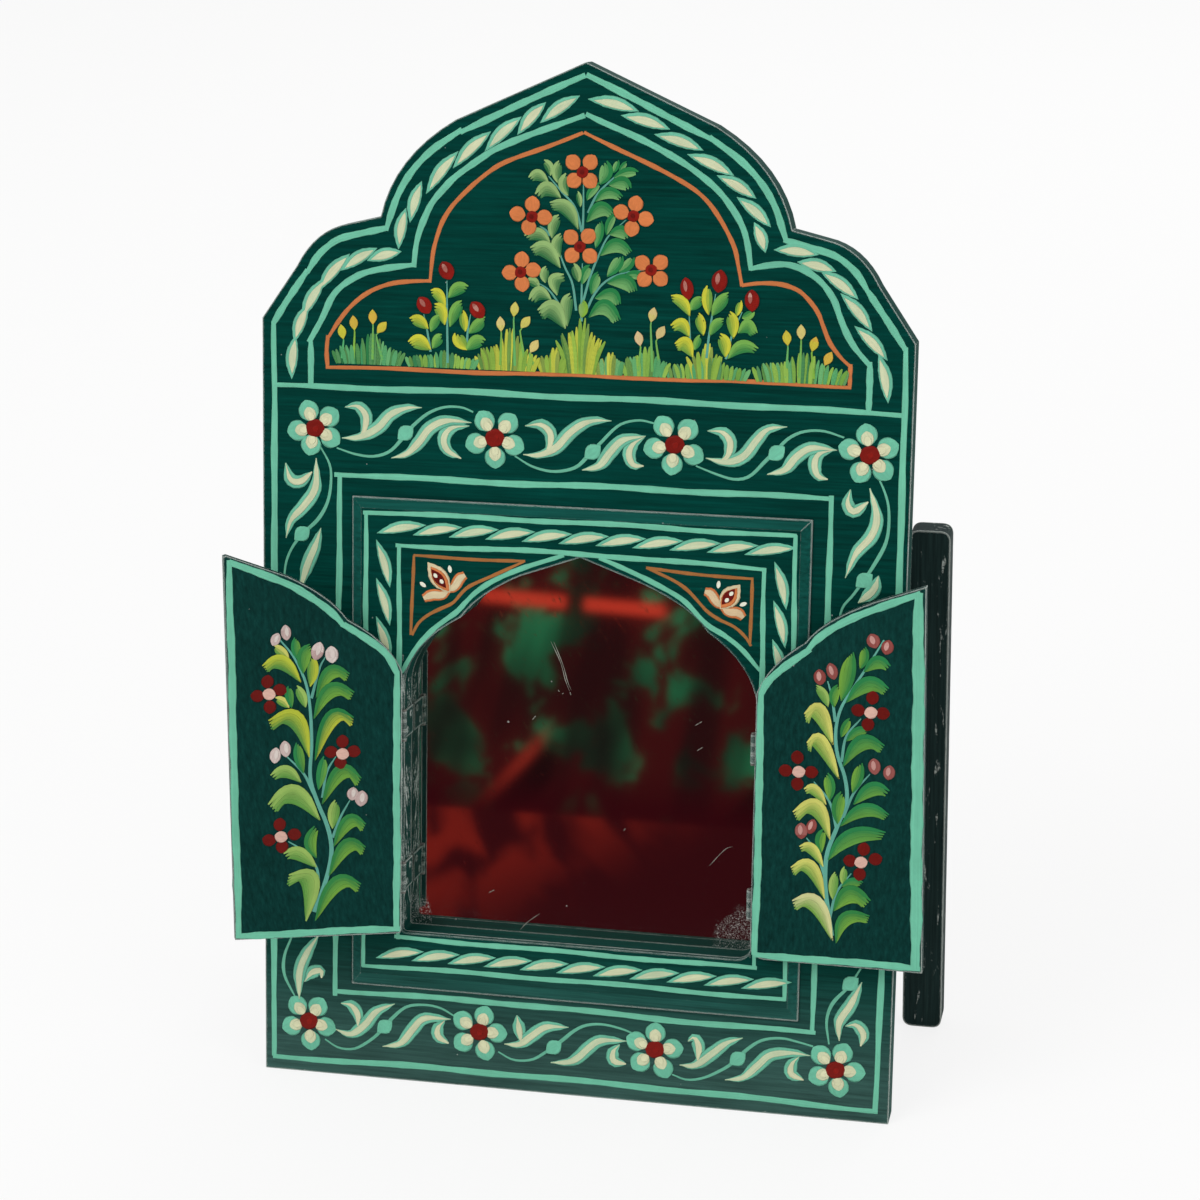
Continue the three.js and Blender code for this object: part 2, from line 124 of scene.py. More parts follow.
def face_of(corner, across, out):
    """Places a drawing, in metres across and up, on a face of the leaning panel."""
    up = (0, 0, 1)
    rows = [(across[i], up[i], out[i], corner[i] * MM) for i in range(3)]
    return TO_ROOM @ Matrix((*rows, (0, 0, 0, 1)))


def board_face(depth=0.0):
    return face_of((0, depth, 0), (1, 0, 0), (0, -1, 0))


def shutter_face(side, inner):
    """The face of an open shutter, and which way its distance from the pin runs in the drawing."""
    sign = -1 if side == "left" else 1
    turn = math.radians(SHUTTER_OPEN[side])
    away = (-sign * math.cos(turn), -math.sin(turn), 0)
    through = (-sign * math.sin(turn), math.cos(turn), 0)
    reach = INNER_FACE if inner else OUTER_FACE
    pin = SHUTTER_PIN[side]
    corner = (pin[0] + through[0] * reach, pin[1] + through[1] * reach, 0)
    flip = sign if inner else -sign
    across = tuple(c * flip for c in away)
    out = through if inner else tuple(-c for c in through)
    return face_of(corner, across, out), flip


# ---- Brush strokes ------------------------------------------------------------------------------------------

def through_points(points, count):
    """A smooth path through the points, in equal steps of the path's own measure."""
    if len(points) == 2:
        (x0, y0), (x1, y1) = points
        return [(x0 + (x1 - x0) * i / (count - 1), y0 + (y1 - y0) * i / (count - 1)) for i in range(count)]
    p = [Vector(q) for q in points]
    p = [2 * p[0] - p[1], *p, 2 * p[-1] - p[-2]]
    fine = []
    for k in range(1, len(p) - 2):
        a, b, c, d = p[k - 1:k + 3]
        for j in range(12):
            t = j / 12
            square, cube = 2 * a - 5 * b + 4 * c - d, 3 * b - a - 3 * c + d
            fine.append(0.5 * (2 * b + (c - a) * t + square * t * t + cube * t ** 3))
    fine.append(p[-2])
    run = [0.0]
    for a, b in zip(fine, fine[1:]):
        run.append(run[-1] + (b - a).length)
    path, k = [], 0
    for i in range(count):
        want = run[-1] * i / (count - 1)
        while k < len(run) - 2 and run[k + 1] < want:
            k += 1
        part = (want - run[k]) / max(run[k + 1] - run[k], 1e-9)
        path.append(tuple(fine[k].lerp(fine[k + 1], min(part, 1))))
    return path


def along(widths, t):
    """The brush's half width at a share t of its stroke."""
    spot = t * (len(widths) - 1)
    k = min(int(spot), len(widths) - 2)
    part = spot - k
    part = part * part * (3 - 2 * part)
    return widths[k] * (1 - part) + widths[k + 1] * part


# How the brush's half width goes along a stroke, as shares of the fullest.
BLADE = (0.7, 0.9, 1.0, 1.0, 0.85, 0.3)
ALMOND = (0.04, 0.5, 0.88, 1.0, 0.9, 0.55, 0.04)
ROUND = (0.06, 0.6, 0.85, 0.97, 1.0, 0.97, 0.85, 0.6, 0.06)
LINE = (0.75, 1.0, 1.03, 0.98, 1.02, 1.0, 0.75)
STEM = (1.0, 0.95, 0.85, 0.75, 0.6, 0.35)
VINE = (0.08, 0.5, 0.92, 1.0, 0.9, 0.6, 0.06)
TENDRIL = (0.5, 0.8, 1.0, 1.25, 1.0, 0.8, 0.6)
HAIR = (0.25, 0.7, 1.0, 1.15, 1.15, 0.95, 0.3)


class Brushwork:
    """Collects the strokes on one face and makes them one piece, a thin film of paint over the ground."""

    def __init__(self, name, body, face, slot, flip=1):
        self.name, self.body, self.face, self.slot, self.flip = name, body, face, slot, flip
        self.strokes = []
        self.bloom = 0.3 if body == "shutter_right" else 1.0

    def stroke(self, points, half_width, tones, shape=LINE, coat=0, count=None):
        """Points run in millimetres from where the brush lands; tones are (upper side, lower side[, at the end])."""
        points = [(x * self.flip, y) for x, y in points]
        length = sum(math.dist(a, b) for a, b in zip(points, points[1:]))
        count = count or max(8, min(60, int(length / 2.2) + 6))
        path = through_points(points, count)
        seed = len(self.strokes) * 0.618 % 1
        if shape is LINE:
            wander = sizes().wobble / MM
            path = [(x + wander * math.sin(y * 0.11 + seed * 9) * math.sin(y * 0.031 + 2),
                     y + wander * math.sin(x * 0.09 + seed * 7) * 1.2) for x, y in path]
        radii = [max(half_width * along(shape, i / (count - 1)), 0.02) for i in range(count)]
        if shape is LINE:
            radii = [r * (1 + 0.09 * math.sin(i * 0.8 + seed * 20) + 0.05 * math.sin(i * 2.1 + seed * 31))
                     for i, r in enumerate(radii)]
        self.strokes.append((path, radii, tones, coat, seed))

    def dab(self, x, y, half_length, half_width, tones, turn=90.0, coat=0, shape=ROUND):
        """A short round touch of the brush, centred at x, y and lying along the turn in degrees."""
        dx, dy = math.cos(math.radians(turn)) * half_length, math.sin(math.radians(turn)) * half_length
        self.stroke([(x - dx, y - dy), (x + dx, y + dy)], half_width, tones, shape, coat, 13)

    def finish(self):
        """Turns the strokes into one mesh on the face, with each stroke's tones on its own corners."""
        bpy.ops.object.select_all(action="DESELECT")
        film = sizes().film
        bpy.ops.curve.primitive_nurbs_path_add(location=(0, 0, 0))
        tip = bpy.context.object
        tip.data.dimensions = "2D"
        tip.data.splines.clear()
        outline = tip.data.splines.new("POLY")
        outline.points.add(4)
        for point, (x, y) in zip(outline.points, ((-1, 0), (-0.8, film * 0.8), (0, film), (0.8, film * 0.8), (1, 0))):
            point.co = (x * MM, y * MM, 0, 1)
        outline.use_cyclic_u = True
        bpy.ops.object.select_all(action="DESELECT")
        bpy.ops.curve.primitive_nurbs_path_add(location=(0, 0, 0))
        work = bpy.context.object
        work.name = work.data.name = self.name
        drawing = work.data
        drawing.splines.clear()
        drawing.dimensions, drawing.twist_mode = "3D", "Z_UP"
        drawing.bevel_mode, drawing.bevel_object = "OBJECT", tip
        for path, radii, _tones, coat, seed in self.strokes:
            spline = drawing.splines.new("POLY")
            spline.points.add(len(path) - 1)
            height = sizes().lift + coat * sizes().coat_step + seed * 0.00001
            for point, (x, y), r in zip(spline.points, path, radii):
                point.co = (x * MM, y * MM, height, 1)
                point.radius = r
        bpy.ops.object.convert(target="MESH")
        work = bpy.context.object
        mesh = work.data
        if len(mesh.polygons) != sum((len(s[0]) - 1) * 5 for s in self.strokes):
            raise RuntimeError(f"{self.name}: the strokes and the faces don't match")
        share = {0: 0.0, 1: 0.12, 2: 0.5, 3: 0.88, 4: 1.0, 5: 0.5}
        uv = mesh.uv_layers.active.data
        tints = mesh.color_attributes.new("brush_colour", "FLOAT_COLOR", "CORNER")
        face_index = 0
        for path, _radii, tones, _coat, seed in self.strokes:
            a, b = path[len(path) // 3], path[2 * len(path) // 3]
            left_is_up = (b[0] - a[0]) >= 0
            upper, lower = Vector(tones[0]), Vector(tones[1])
            end = Vector(tones[2]) if len(tones) > 2 else None
            first, second = (upper, lower) if left_is_up else (lower, upper)
            for _ in range((len(path) - 1) * 5):
                for corner in mesh.polygons[face_index].loop_indices:
                    u, v = uv[corner].uv
                    side = share[round(v * 5)]
                    tint = first.lerp(second, side)
                    if end is not None:
                        tint = tint.lerp(end, max(0.0, min(1.0, u * 1.6 - 0.6)) ** 1.5)
                    tints.data[corner].color = (*tint, seed)
                face_index += 1
        bpy.ops.object.mode_set(mode="EDIT")
        bpy.ops.mesh.select_all(action="SELECT")
        bpy.ops.mesh.remove_doubles(threshold=0.00003)
        bpy.ops.object.mode_set(mode="OBJECT")
        mesh.transform(self.face)
        mesh.materials.clear()
        mesh.materials.append(finish_named("brushed_paint"))
        bpy.data.objects.remove(tip)
        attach(work, self.body)
        return work


# ---- Finishes -----------------------------------------------------------------------------------------------

class Wire:
    """One socket of a finish's nodes, so that sums are written as Python."""

    def __init__(self, finish, socket):
        self.finish, self.socket = finish, socket

    def _maths(self, operation, a, b=None):
        return self.finish.add("ShaderNodeMath", {"operation": operation}, {0: a} if b is None else {0: a, 1: b})

    def _ramp(self, edge, soft, **ends):
        return self.finish.add("ShaderNodeMapRange", {"interpolation_type": "SMOOTHSTEP"}, {
            "Value": self, "From Min": edge - soft, "From Max": edge + soft, **ends})

    def __add__(self, other): return self._maths("ADD", self, other)
    def __radd__(self, other): return self._maths("ADD", other, self)
    def __sub__(self, other): return self._maths("SUBTRACT", self, other)
    def __rsub__(self, other): return self._maths("SUBTRACT", other, self)
    def __mul__(self, other): return self._maths("MULTIPLY", self, other)
    def __truediv__(self, other): return self._maths("DIVIDE", self, other)

    def above(self, edge, soft=0.05):
        """From 0 under the edge to 1 over it, with a soft step between."""
        return self._ramp(edge, soft)

    def below(self, edge, soft=0.05):
        return self._ramp(edge, soft, **{"To Min": 1.0, "To Max": 0.0})

    def size(self):
        return self._maths("ABSOLUTE", self)

    def most(self, other):
        return self._maths("MAXIMUM", self, other)


class Finish:
    """A procedural finish under one Principled shader."""

    def __init__(self, name):
        self.material = bpy.data.materials.new(name)
        self.material.use_nodes = True
        self.tree = self.material.node_tree
        self.shader = self.tree.nodes["Principled BSDF"]

    def add(self, kind, settings=None, inputs=None, output=0):
        """One node: its settings first, then its sockets by name or number, as values or wires."""
        node = self.tree.nodes.new(kind)
        for key, value in (settings or {}).items():
            if key == "stops":
                ramp = node.color_ramp
                while len(ramp.elements) < len(value):
                    ramp.elements.new(0.5)
                for element, (spot, tint) in zip(ramp.elements, value):
                    element.position, element.color = spot, (*tint, 1)
            else:
                setattr(node, key, value)
        for key, value in (inputs or {}).items():
            if isinstance(value, Wire):
                self.tree.links.new(value.socket, node.inputs[key])
            elif hasattr(node.inputs[key].default_value, "__len__") and not hasattr(value, "__len__"):
                node.inputs[key].default_value = [value] * len(node.inputs[key].default_value)
            elif hasattr(value, "__len__") and len(node.inputs[key].default_value) == 4 and len(value) == 3:
                node.inputs[key].default_value = (*value, 1)
            else:
                node.inputs[key].default_value = value
        return Wire(self, node.outputs[output])

    def place(self, scale=(1, 1, 1), turn=(0, 0, 0), shift=(0, 0, 0)):
        """Object coordinates in millimetres, turned and then stretched."""
        where = self.add("ShaderNodeTexCoord", output=3)
        where = self.add("ShaderNodeVectorMath", {"operation": "SCALE"}, {0: where, "Scale": 1000.0})
        point = {"vector_type": "POINT"}
        where = self.add("ShaderNodeMapping", point, {"Vector": where, "Rotation": turn})
        return self.add("ShaderNodeMapping", point, {"Vector": where, "Scale": scale, "Location": shift})

    def axis(self, where, k):
        """One coordinate of a place: 0 across, 1 deep, 2 high."""
        return self.add("ShaderNodeSeparateXYZ", None, {0: where}, output=k)

    def grain(self, where, detail=3.0, roughness=0.55, bend=0.0):
        return self.add("ShaderNodeTexNoise", {"noise_dimensions": "3D"}, {
            "Vector": where, "Scale": 1.0, "Detail": detail, "Roughness": roughness, "Distortion": bend})

    def mix(self, share, a, b):
        return self.add("ShaderNodeMix", {"data_type": "RGBA"}, {0: share, 6: a, 7: b}, output=2)

    def brighter(self, tint, by):
        """A tint multiplied by a wire or a number."""
        return self.add("ShaderNodeVectorMath", {"operation": "SCALE"}, {0: tint, "Scale": by})

    def set(self, **sockets):
        names = {"colour": "Base Color", "roughness": "Roughness", "metallic": "Metallic",
                 "specular": "Specular IOR Level", "normal": "Normal"}
        for key, value in sockets.items():
            socket = self.shader.inputs[names[key]]
            if isinstance(value, Wire):
                self.tree.links.new(value.socket, socket)
            else:
                socket.default_value = (*value, 1) if hasattr(value, "__len__") else value
        return self.material

    def bump(self, height, distance, strength):
        return self.add("ShaderNodeBump", None, {"Height": height, "Distance": distance, "Strength": strength})

    def end(self, shader):
        """Shows this shader in place of the Principled one."""
        self.tree.links.new(shader.socket, self.tree.nodes["Material Output"].inputs["Surface"])
        return self.material

    def glow(self, tint):
        """Makes the finish give out the tint, whatever the lamps do."""
        return self.end(self.add("ShaderNodeEmission", None, {"Color": tint, "Strength": 1.0}))

    def worn_arris(self, gain):
        """How near an outer corner is, from 0 on the flat to 1 on the arris."""
        soft = self.add("ShaderNodeBevel", {"samples": 4}, {"Radius": 0.0012})
        true = self.add("ShaderNodeNewGeometry", output=1)
        along_true = self.add("ShaderNodeVectorMath", {"operation": "DOT_PRODUCT"}, {0: soft, 1: true}, output=1)
        return (1.0 - along_true) * gain


def finish_named(name):
    made = bpy.data.materials.get(name)
    if made is None:
        raise RuntimeError(f"the finish {name} hasn't been mixed yet")
    return made


# How far the brush streaks stretch: across the board, up a shutter or post, and not at all.
STREAKS_ACROSS, STREAKS_UP = (0.025, 0.75, 0.75), (0.75, 0.75, 0.025)
POST_STREAKS, RAIL_STREAKS, IRON_STREAKS = (1.1, 1.1, 0.03), (0.03, 1.1, 1.1), (0.7, 0.7, 0.7)
OUT_OF_BOARD = (0.0, -math.cos(LEAN), math.sin(LEAN))
GLOSS = 0.025


def painted_ground(name, tint, streak_scale, arris_wear, thin=0.0, zone=None, turn=(-LEAN, 0, 0), sheen=0.46,
                   painted_bevel_light=None, rub=0.0, foot=False):
    """Dark brushed enamel with fine brush lines, dust specks and pale worn corners; on request also painted light on
    the bevels and a painted sheen toward the foot.
    """
    f = Finish(name)
    streaks = f.grain(f.place(streak_scale, turn), detail=5.0, roughness=0.7)
    clouds = f.grain(f.place((0.02, 0.02, 0.02), turn), detail=3.0)
    fine = f.grain(f.place((0.9, 0.9, 0.9), turn), detail=2.0)
    depth = (streaks * 1.8 + (clouds - 0.5) * 0.4 + 0.05).most(0.25)
    body = f.brighter(tint, depth)
    body = f.mix((streaks - 0.55) * 0.5, body, tuple(min(1, c * 2.2 + 0.006) for c in tint))
    if thin:
        lengthwise = (0.05, 0.4, 0.4) if streak_scale[0] < streak_scale[2] else (0.4, 0.4, 0.05)
        knots = f.grain(f.place(lengthwise, turn), detail=4.0)
        body = f.mix(knots.above(1.0 - thin, 0.12) * 0.7, body, paints().raw_wood)
    # Painted light: faces that turn from the board's front, the bevels, are mixed toward a lighter tint for the light
    # that falls on them.
    if painted_bevel_light is not None:
        true = f.add("ShaderNodeNewGeometry", output=1)
        facing = f.add("ShaderNodeVectorMath", {"operation": "DOT_PRODUCT"}, {0: true, 1: OUT_OF_BOARD}, output=1)
        body = f.mix(facing.above(0.3, 0.1) * facing.below(0.97, 0.02), body, f.brighter(painted_bevel_light, depth))
    # Painted sheen: the lower part is mixed toward a pale grey-green, standing in for the floor's reflection near the
    # foot.
    if foot:
        high = f.axis(f.place((1, 1, 1), turn), 2)
        body = f.mix(high.below(32.0, 36.0) * 0.75, body, f.brighter(ink(66, 96, 90), depth))
    patches = f.grain(f.place((0.16, 0.16, 0.16), turn), detail=4.0, roughness=0.7)
    crumbs = f.grain(f.place((1.6, 1.6, 1.6), turn), detail=3.0, roughness=0.8)
    worn = f.worn_arris(arris_wear) * (patches * 0.9 + crumbs * 0.8 - 0.42)
    worn = worn.above(0.085, 0.05)
    if rub:
        stretch = tuple(c * 0.3 if c > 0.5 else c * 2.2 for c in streak_scale)
        rubs = f.grain(f.place(stretch, turn, (7, 3, 11)), detail=5.0, roughness=0.7)
        worn = worn.most(rubs.above(rub, 0.03) * crumbs.above(0.47, 0.05) * 0.8)
    if zone is not None:
        worn = worn.most(zone(f, crumbs))
    specks = f.add("ShaderNodeTexVoronoi", {"feature": "F1", "distance": "EUCLIDEAN"}, {
        "Vector": f.place((0.09, 0.09, 0.09), turn), "Scale": 1.0, "Randomness": 1.0})
    dust = specks.below(0.026, 0.008) * fine.above(0.5, 0.1)
    worn = worn.most(dust * 0.55)
    colour = f.mix(worn, body, paints().scuff)
    roughness = sheen + streaks * 0.18 + worn * 0.35
    relief = f.bump(streaks * 0.6 + fine * 0.3 - worn * 0.8, 0.00007, 0.5)
    return f.set(colour=colour, roughness=roughness, normal=relief, specular=GLOSS)


def left_reveal(f, crumbs):
    """The scraped strip down the left jamb of the arch, and a few knocks on the right one."""
    where = f.place((1, 1, 1), (-LEAN, 0, 0))
    x = f.axis(where, 0)
    deep = f.axis(where, 1) + 5.0
    lips = (deep + 2.0).size().below(1.1, 0.5).most((deep - 8.4).size().below(1.3, 0.5)) * 0.14
    high = f.axis(where, 2)
    left = (x + 69.2).size().below(0.35, 0.1) * high.below(166.0, 4.0)
    right = (x - 71.4).size().below(0.35, 0.1) * 0.75 * high.below(150.0, 6.0)
    scrape = f.grain(f.place((0.6, 0.35, 0.09), (-LEAN, 0, 0)), detail=5.0, roughness=0.75)
    bare = (scrape * 0.9 + crumbs * 0.35 + lips).above(0.705, 0.04)
    return left.most(right) * high.above(62.0, 0.5) * bare


def mix_finishes():
    p = paints()
    # The board and the frame get a painted sheen toward the foot, and the frame's bevels get painted light.
    painted_ground("board_enamel", p.ground, STREAKS_ACROSS, 1.3, zone=left_reveal, foot=True)
    painted_ground("frame_enamel", p.ground, STREAKS_ACROSS, 1.7, zone=left_reveal, painted_bevel_light=ink(16, 78, 70), foot=True)
    painted_ground("shutter_enamel", p.night, STREAKS_UP, 1.5)
    stand = {"turn": (0, 0, 0), "sheen": 0.42, "rub": 0.625}
    painted_ground("stand_enamel", p.smoke, POST_STREAKS, 6.0, thin=0.2, **stand)
    painted_ground("rail_enamel", p.smoke, RAIL_STREAKS, 3.0, thin=0.25, **stand)
    painted_ground("iron_enamel", p.ground, IRON_STREAKS, 3.0, turn=(0, 0, 0), sheen=0.36)

    f = Finish("brushed_paint")
    tint = f.add("ShaderNodeVertexColor", {"layer_name": "brush_colour"})
    seed = f.add("ShaderNodeVertexColor", {"layer_name": "brush_colour"}, output=1)
    uv = f.add("ShaderNodeUVMap")
    pull = f.add("ShaderNodeVectorMath", {"operation": "MULTIPLY"}, {0: uv, 1: (2.2, 15.0, 1.0)})
    start = f.add("ShaderNodeCombineXYZ", None, {0: seed * 41.0, 1: seed * 17.0, 2: seed * 5.0})
    hairs = f.grain(f.add("ShaderNodeVectorMath", {"operation": "ADD"}, {0: pull, 1: start}), detail=3.0, roughness=0.6)
    pool = f.grain(f.place((0.12, 0.12, 0.12)), detail=2.0)
    grit = f.grain(f.place((2.0, 2.0, 2.0)), detail=3.0, roughness=0.7)
    body = f.brighter(tint, 0.74 + hairs * 0.46 + (pool - 0.5) * 0.3)
    chip = grit.above(0.74, 0.03)
    body = f.mix(chip * 0.5, body, p.ground)
    f.set(colour=body, roughness=0.34 + hairs * 0.16, normal=f.bump(hairs + grit * 0.25, 0.00005, 0.45), specular=0.16)

    f = Finish("bare_wood")
    rings = f.grain(f.place((0.5, 0.5, 0.02)), detail=5.0, roughness=0.6, bend=0.6)
    pores = f.grain(f.place((4.0, 4.0, 0.12)), detail=3.0, roughness=0.7)
    stops = ((0.25, ink(96, 66, 40)), (0.5, tuple(p.raw_wood)), (0.72, ink(176, 138, 94)))
    wood = f.add("ShaderNodeValToRGB", {"stops": stops}, {0: rings})
    wood = f.mix(pores.below(0.38, 0.06) * 0.6, wood, ink(58, 40, 24))
    stain = f.grain(f.place((0.03, 0.03, 0.03)), detail=4.0)
    wood = f.brighter(wood, 0.75 + stain * 0.45)
    f.set(colour=wood, roughness=0.62 + pores * 0.2, normal=f.bump(pores, 0.00012, 0.5), specular=0.3)

    f = Finish("pressed_board")
    fibres = f.grain(f.place((1.2, 1.2, 1.2)), detail=6.0, roughness=0.75)
    stain = f.grain(f.place((0.025, 0.025, 0.025)), detail=4.0)
    stops = ((0.3, ink(84, 58, 38)), (0.55, ink(122, 88, 58)), (0.75, ink(150, 114, 78)))
    board = f.add("ShaderNodeValToRGB", {"stops": stops}, {0: fibres})
    board = f.brighter(board, 0.7 + stain * 0.5)
    f.set(colour=board, roughness=0.66 + fibres * 0.15, normal=f.bump(fibres, 0.0001, 0.5), specular=0.3)

    f = Finish("bare_iron")
    rust = f.grain(f.place((0.35, 0.35, 0.35)), detail=5.0, roughness=0.7)
    marks = f.grain(f.place((2.5, 2.5, 2.5)), detail=3.0)
    bare = f.mix(rust.above(0.55, 0.1), p.iron, ink(92, 56, 34))
    f.set(colour=f.brighter(bare, 0.75 + marks * 0.5), metallic=1.0 - rust.above(0.55, 0.1) * 0.85,
          roughness=0.38 + rust * 0.35, normal=f.bump(marks, 0.00006, 0.5))

    f = Finish("old_mirror")
    where = (-LEAN, 0, 0)
    across = f.axis(f.place((1, 1, 1), where), 0)
    high = f.axis(f.place((1, 1, 1), where), 2)
    clouds = f.grain(f.place((0.07, 0.07, 0.07), where), detail=5.0, roughness=0.7)
    crumbs = f.grain(f.place((1.9, 1.9, 1.9), where), detail=4.0, roughness=0.8)
    drag = f.grain(f.place((0.9, 0.9, 0.16), (0, math.radians(35), 0)), detail=4.0, roughness=0.75)
    corner = (across - 66.0).above(-9.0, 9.0) * high.below(82.0, 16.0)
    left_edge = across.below(-60.5, 4.0) * high.below(100.0, 30.0)
    foot = high.below(68.5, 4.0)
    tired = (corner * 0.85 + left_edge * 0.5 + foot * 0.55) * (clouds * 0.8 + crumbs * 0.75)
    tired = tired.above(0.72, 0.06) * crumbs.above(0.57, 0.05) * 0.7
    flecks = f.add("ShaderNodeTexVoronoi", {"feature": "F1"}, {
        "Vector": f.place((0.075, 0.075, 0.075), where), "Scale": 1.0})
    flecks = flecks.below(0.032, 0.01) * crumbs.above(0.45, 0.08)
    haze = drag.above(0.66, 0.08) * 0.22
    spoiled = tired.most(flecks * 0.8)
    f.set(colour=f.mix(spoiled * 0.65, p.silver, ink(150, 150, 142)), metallic=1.0 - spoiled * 0.75,
          roughness=0.035 + haze * 0.3 + spoiled * 0.45, specular=0.5)


FINISH_OF_NODE = {
    "base_board": "board_enamel",
    "raised_frame": "frame_enamel",
    "mirror_glass": "old_mirror",
    "backing_panel": "pressed_board",
    "shutter_left": "shutter_enamel",
    "shutter_right": "shutter_enamel",
}


def finish_for(node):
    if node in FINISH_OF_NODE:
        return FINISH_OF_NODE[node]
    if node.startswith("cleat"):
        return "bare_wood"
    if "screw" in node or node.endswith("_pin"):
        return "bare_iron"
    if node.startswith("hinge") or node.endswith("_leaf"):
        return "iron_enamel"
    if "rail" in node:
        return "rail_enamel"
    return "stand_enamel"


# ---- The painter's drawing, in millimetres --------------------------------------------------------------------
# Points run across and up the leaning face; on a shutter the first number is the distance from its hinge pin.

BORDER = [
    [(-123.6, 5), (-123.2, 90), (-122.5, 190), (-122.3, 304)], [(-122.4, 303.5), (-117, 312.2), (-108.7, 324.4)],
    [(-108.9, 323.8), (-105, 329.8), (-101.5, 333.4), (-97, 336.6), (-91.5, 338.4), (-76.6, 341.6)],
    [
        (-77.4, 341), (-75.4, 347.5), (-73, 354), (-69.3, 360.6), (-64.6, 366.5), (-58.8, 371.9), (-52, 376.6),
        (-47.5, 379.5),
    ],
    [(-48.5, 379), (-24, 390.2), (0, 401.2)], [(0, 401.2), (24, 390.2), (48.5, 379)],
    [(47.5, 379.5), (52, 376.6), (58.8, 371.9), (64.6, 366.5), (69.3, 360.6), (73, 354), (75.4, 347.5), (77.4, 342)],
    [(76.3, 342.4), (91.5, 338.8), (97, 336.8), (101.5, 333.6), (105, 330), (108.9, 323.8)],
    [(108.5, 324.6), (117, 312.4), (123.2, 303.2)], [(123.4, 304), (124, 190), (122.6, 90), (121.8, 5)],
    [(-124.2, 5), (-60, 6.2), (0, 6.3), (60, 5.9), (122.6, 4.9)],
]
BAND = [(-122.5, 279.3), (-60, 280), (0, 279.9), (60, 279.7), (124.6, 278.8)]
INNER_ARCH = [
    [(-107.5, 280), (-107.7, 297.2)],
    [
        (-108, 296.6), (-102.9, 306), (-99.3, 314.1), (-95.7, 318.6), (-90.7, 322.2), (-85.7, 324.6), (-78, 326.4),
        (-66, 328),
    ],
    [
        (-66.4, 327.4), (-65.6, 334.9), (-64.3, 340.6), (-62.1, 346.3), (-59.3, 352), (-55, 357.2), (-50, 362.2),
        (-40, 369.2), (-33.6, 373), (-19.3, 379.2), (0, 386.6),
    ],
    [
        (0, 386.6), (7.1, 383.6), (20, 378.8), (30, 374.2), (40, 368.6), (50, 361), (56.4, 353.6), (60.7, 346.4),
        (62.9, 339.2), (64.3, 330.4),
    ],
    [
        (64, 331.4), (70, 332.6), (76, 333.2), (80.5, 332.6), (86, 330.4), (91.4, 326.4), (95.7, 320.6), (97.9, 314.9),
        (100.7, 308.6), (104.3, 303), (109.8, 297.2),
    ],
    [(110, 298), (110, 279.6)],
]
ORANGE_ARCH = [
    [(-100.8, 287), (-101.1, 293), (-100.4, 299.4)],
    [
        (-100.6, 298.8), (-97.1, 304.4), (-92.9, 309.9), (-87.9, 314.5), (-82.1, 318), (-75, 320.4), (-67.9, 321.4),
        (-59.8, 322),
    ],
    [
        (-60, 321.4), (-59.3, 327.7), (-58.6, 333.4), (-57.1, 339.1), (-55, 344.9), (-51.4, 350.6), (-46.4, 355.9),
        (-40.7, 361.1), (-33.6, 366.4), (-26.4, 369.9), (-19.3, 372.6), (-10, 376.2), (-0.6, 380),
    ],
    [
        (-0.6, 380), (10, 375.4), (20, 371.2), (30, 366.6), (40, 361.2), (45.7, 357), (50, 352.2), (54.3, 345.6),
        (57.9, 338.4), (59.3, 332.7), (61.1, 324.4),
    ],
    [
        (60.8, 325), (67.9, 325.9), (75.7, 325.6), (82.1, 323.6), (86.4, 320), (90, 315.4), (92.1, 310.6), (95, 304.4),
        (99.6, 299), (103, 296.2),
    ],
    [(103, 296.8), (102.8, 288.2)],
]
GARDEN_GROUND = [(-101.4, 287.4), (-60, 287.7), (0, 288.3), (60, 288.6), (103.4, 288.5)]
PANEL_RECT = [[(-98, 245.6), (-40, 245.4), (20, 245.9), (97.8, 245.8)], [(97.2, 246.8), (97.2, 150), (96, 34)],
              [(-97.8, 33), (-96.6, 140), (-95.8, 246.2)], [(-97.4, 35.2), (-20, 35.9), (40, 34.9), (97.4, 34.8)]]
FRAME_RECT = [[(-85.6, 231.7), (0, 231.9), (84.8, 231.2)], [(84.4, 231.8), (84.8, 150), (85.1, 47.8)],
              [(-84.4, 232), (-84.3, 150), (-85.2, 47)], [(-85.8, 47.8), (0, 48.4), (85.6, 48)]]
ARCH_RECT = [
    [(-72.4, 219.2), (0, 219.8), (73.2, 217.8)], [(72.8, 218.2), (72.9, 150), (73, 60.4)],
    [(-70.9, 219.6), (-70.9, 150), (-70.8, 60)], [(-72.4, 60.6), (0, 60.1), (74, 59.9)],
]
ARCH_LINE = [
    [
        (-70, 168.6), (-66.6, 174.6), (-62.9, 180.1), (-57, 186.4), (-51.9, 190.6), (-47.3, 194.2), (-43.7, 198.4),
        (-39.6, 202.7), (-32.6, 207.8), (-21.3, 213.4), (-5.4, 219),
    ],
    [
        (8.6, 218.8), (14.6, 216.8), (27.7, 211.2), (40.9, 204.3), (47.9, 197.7), (52, 194.2), (57.9, 191.2),
        (65, 186.2), (72.2, 178.6),
    ],
]

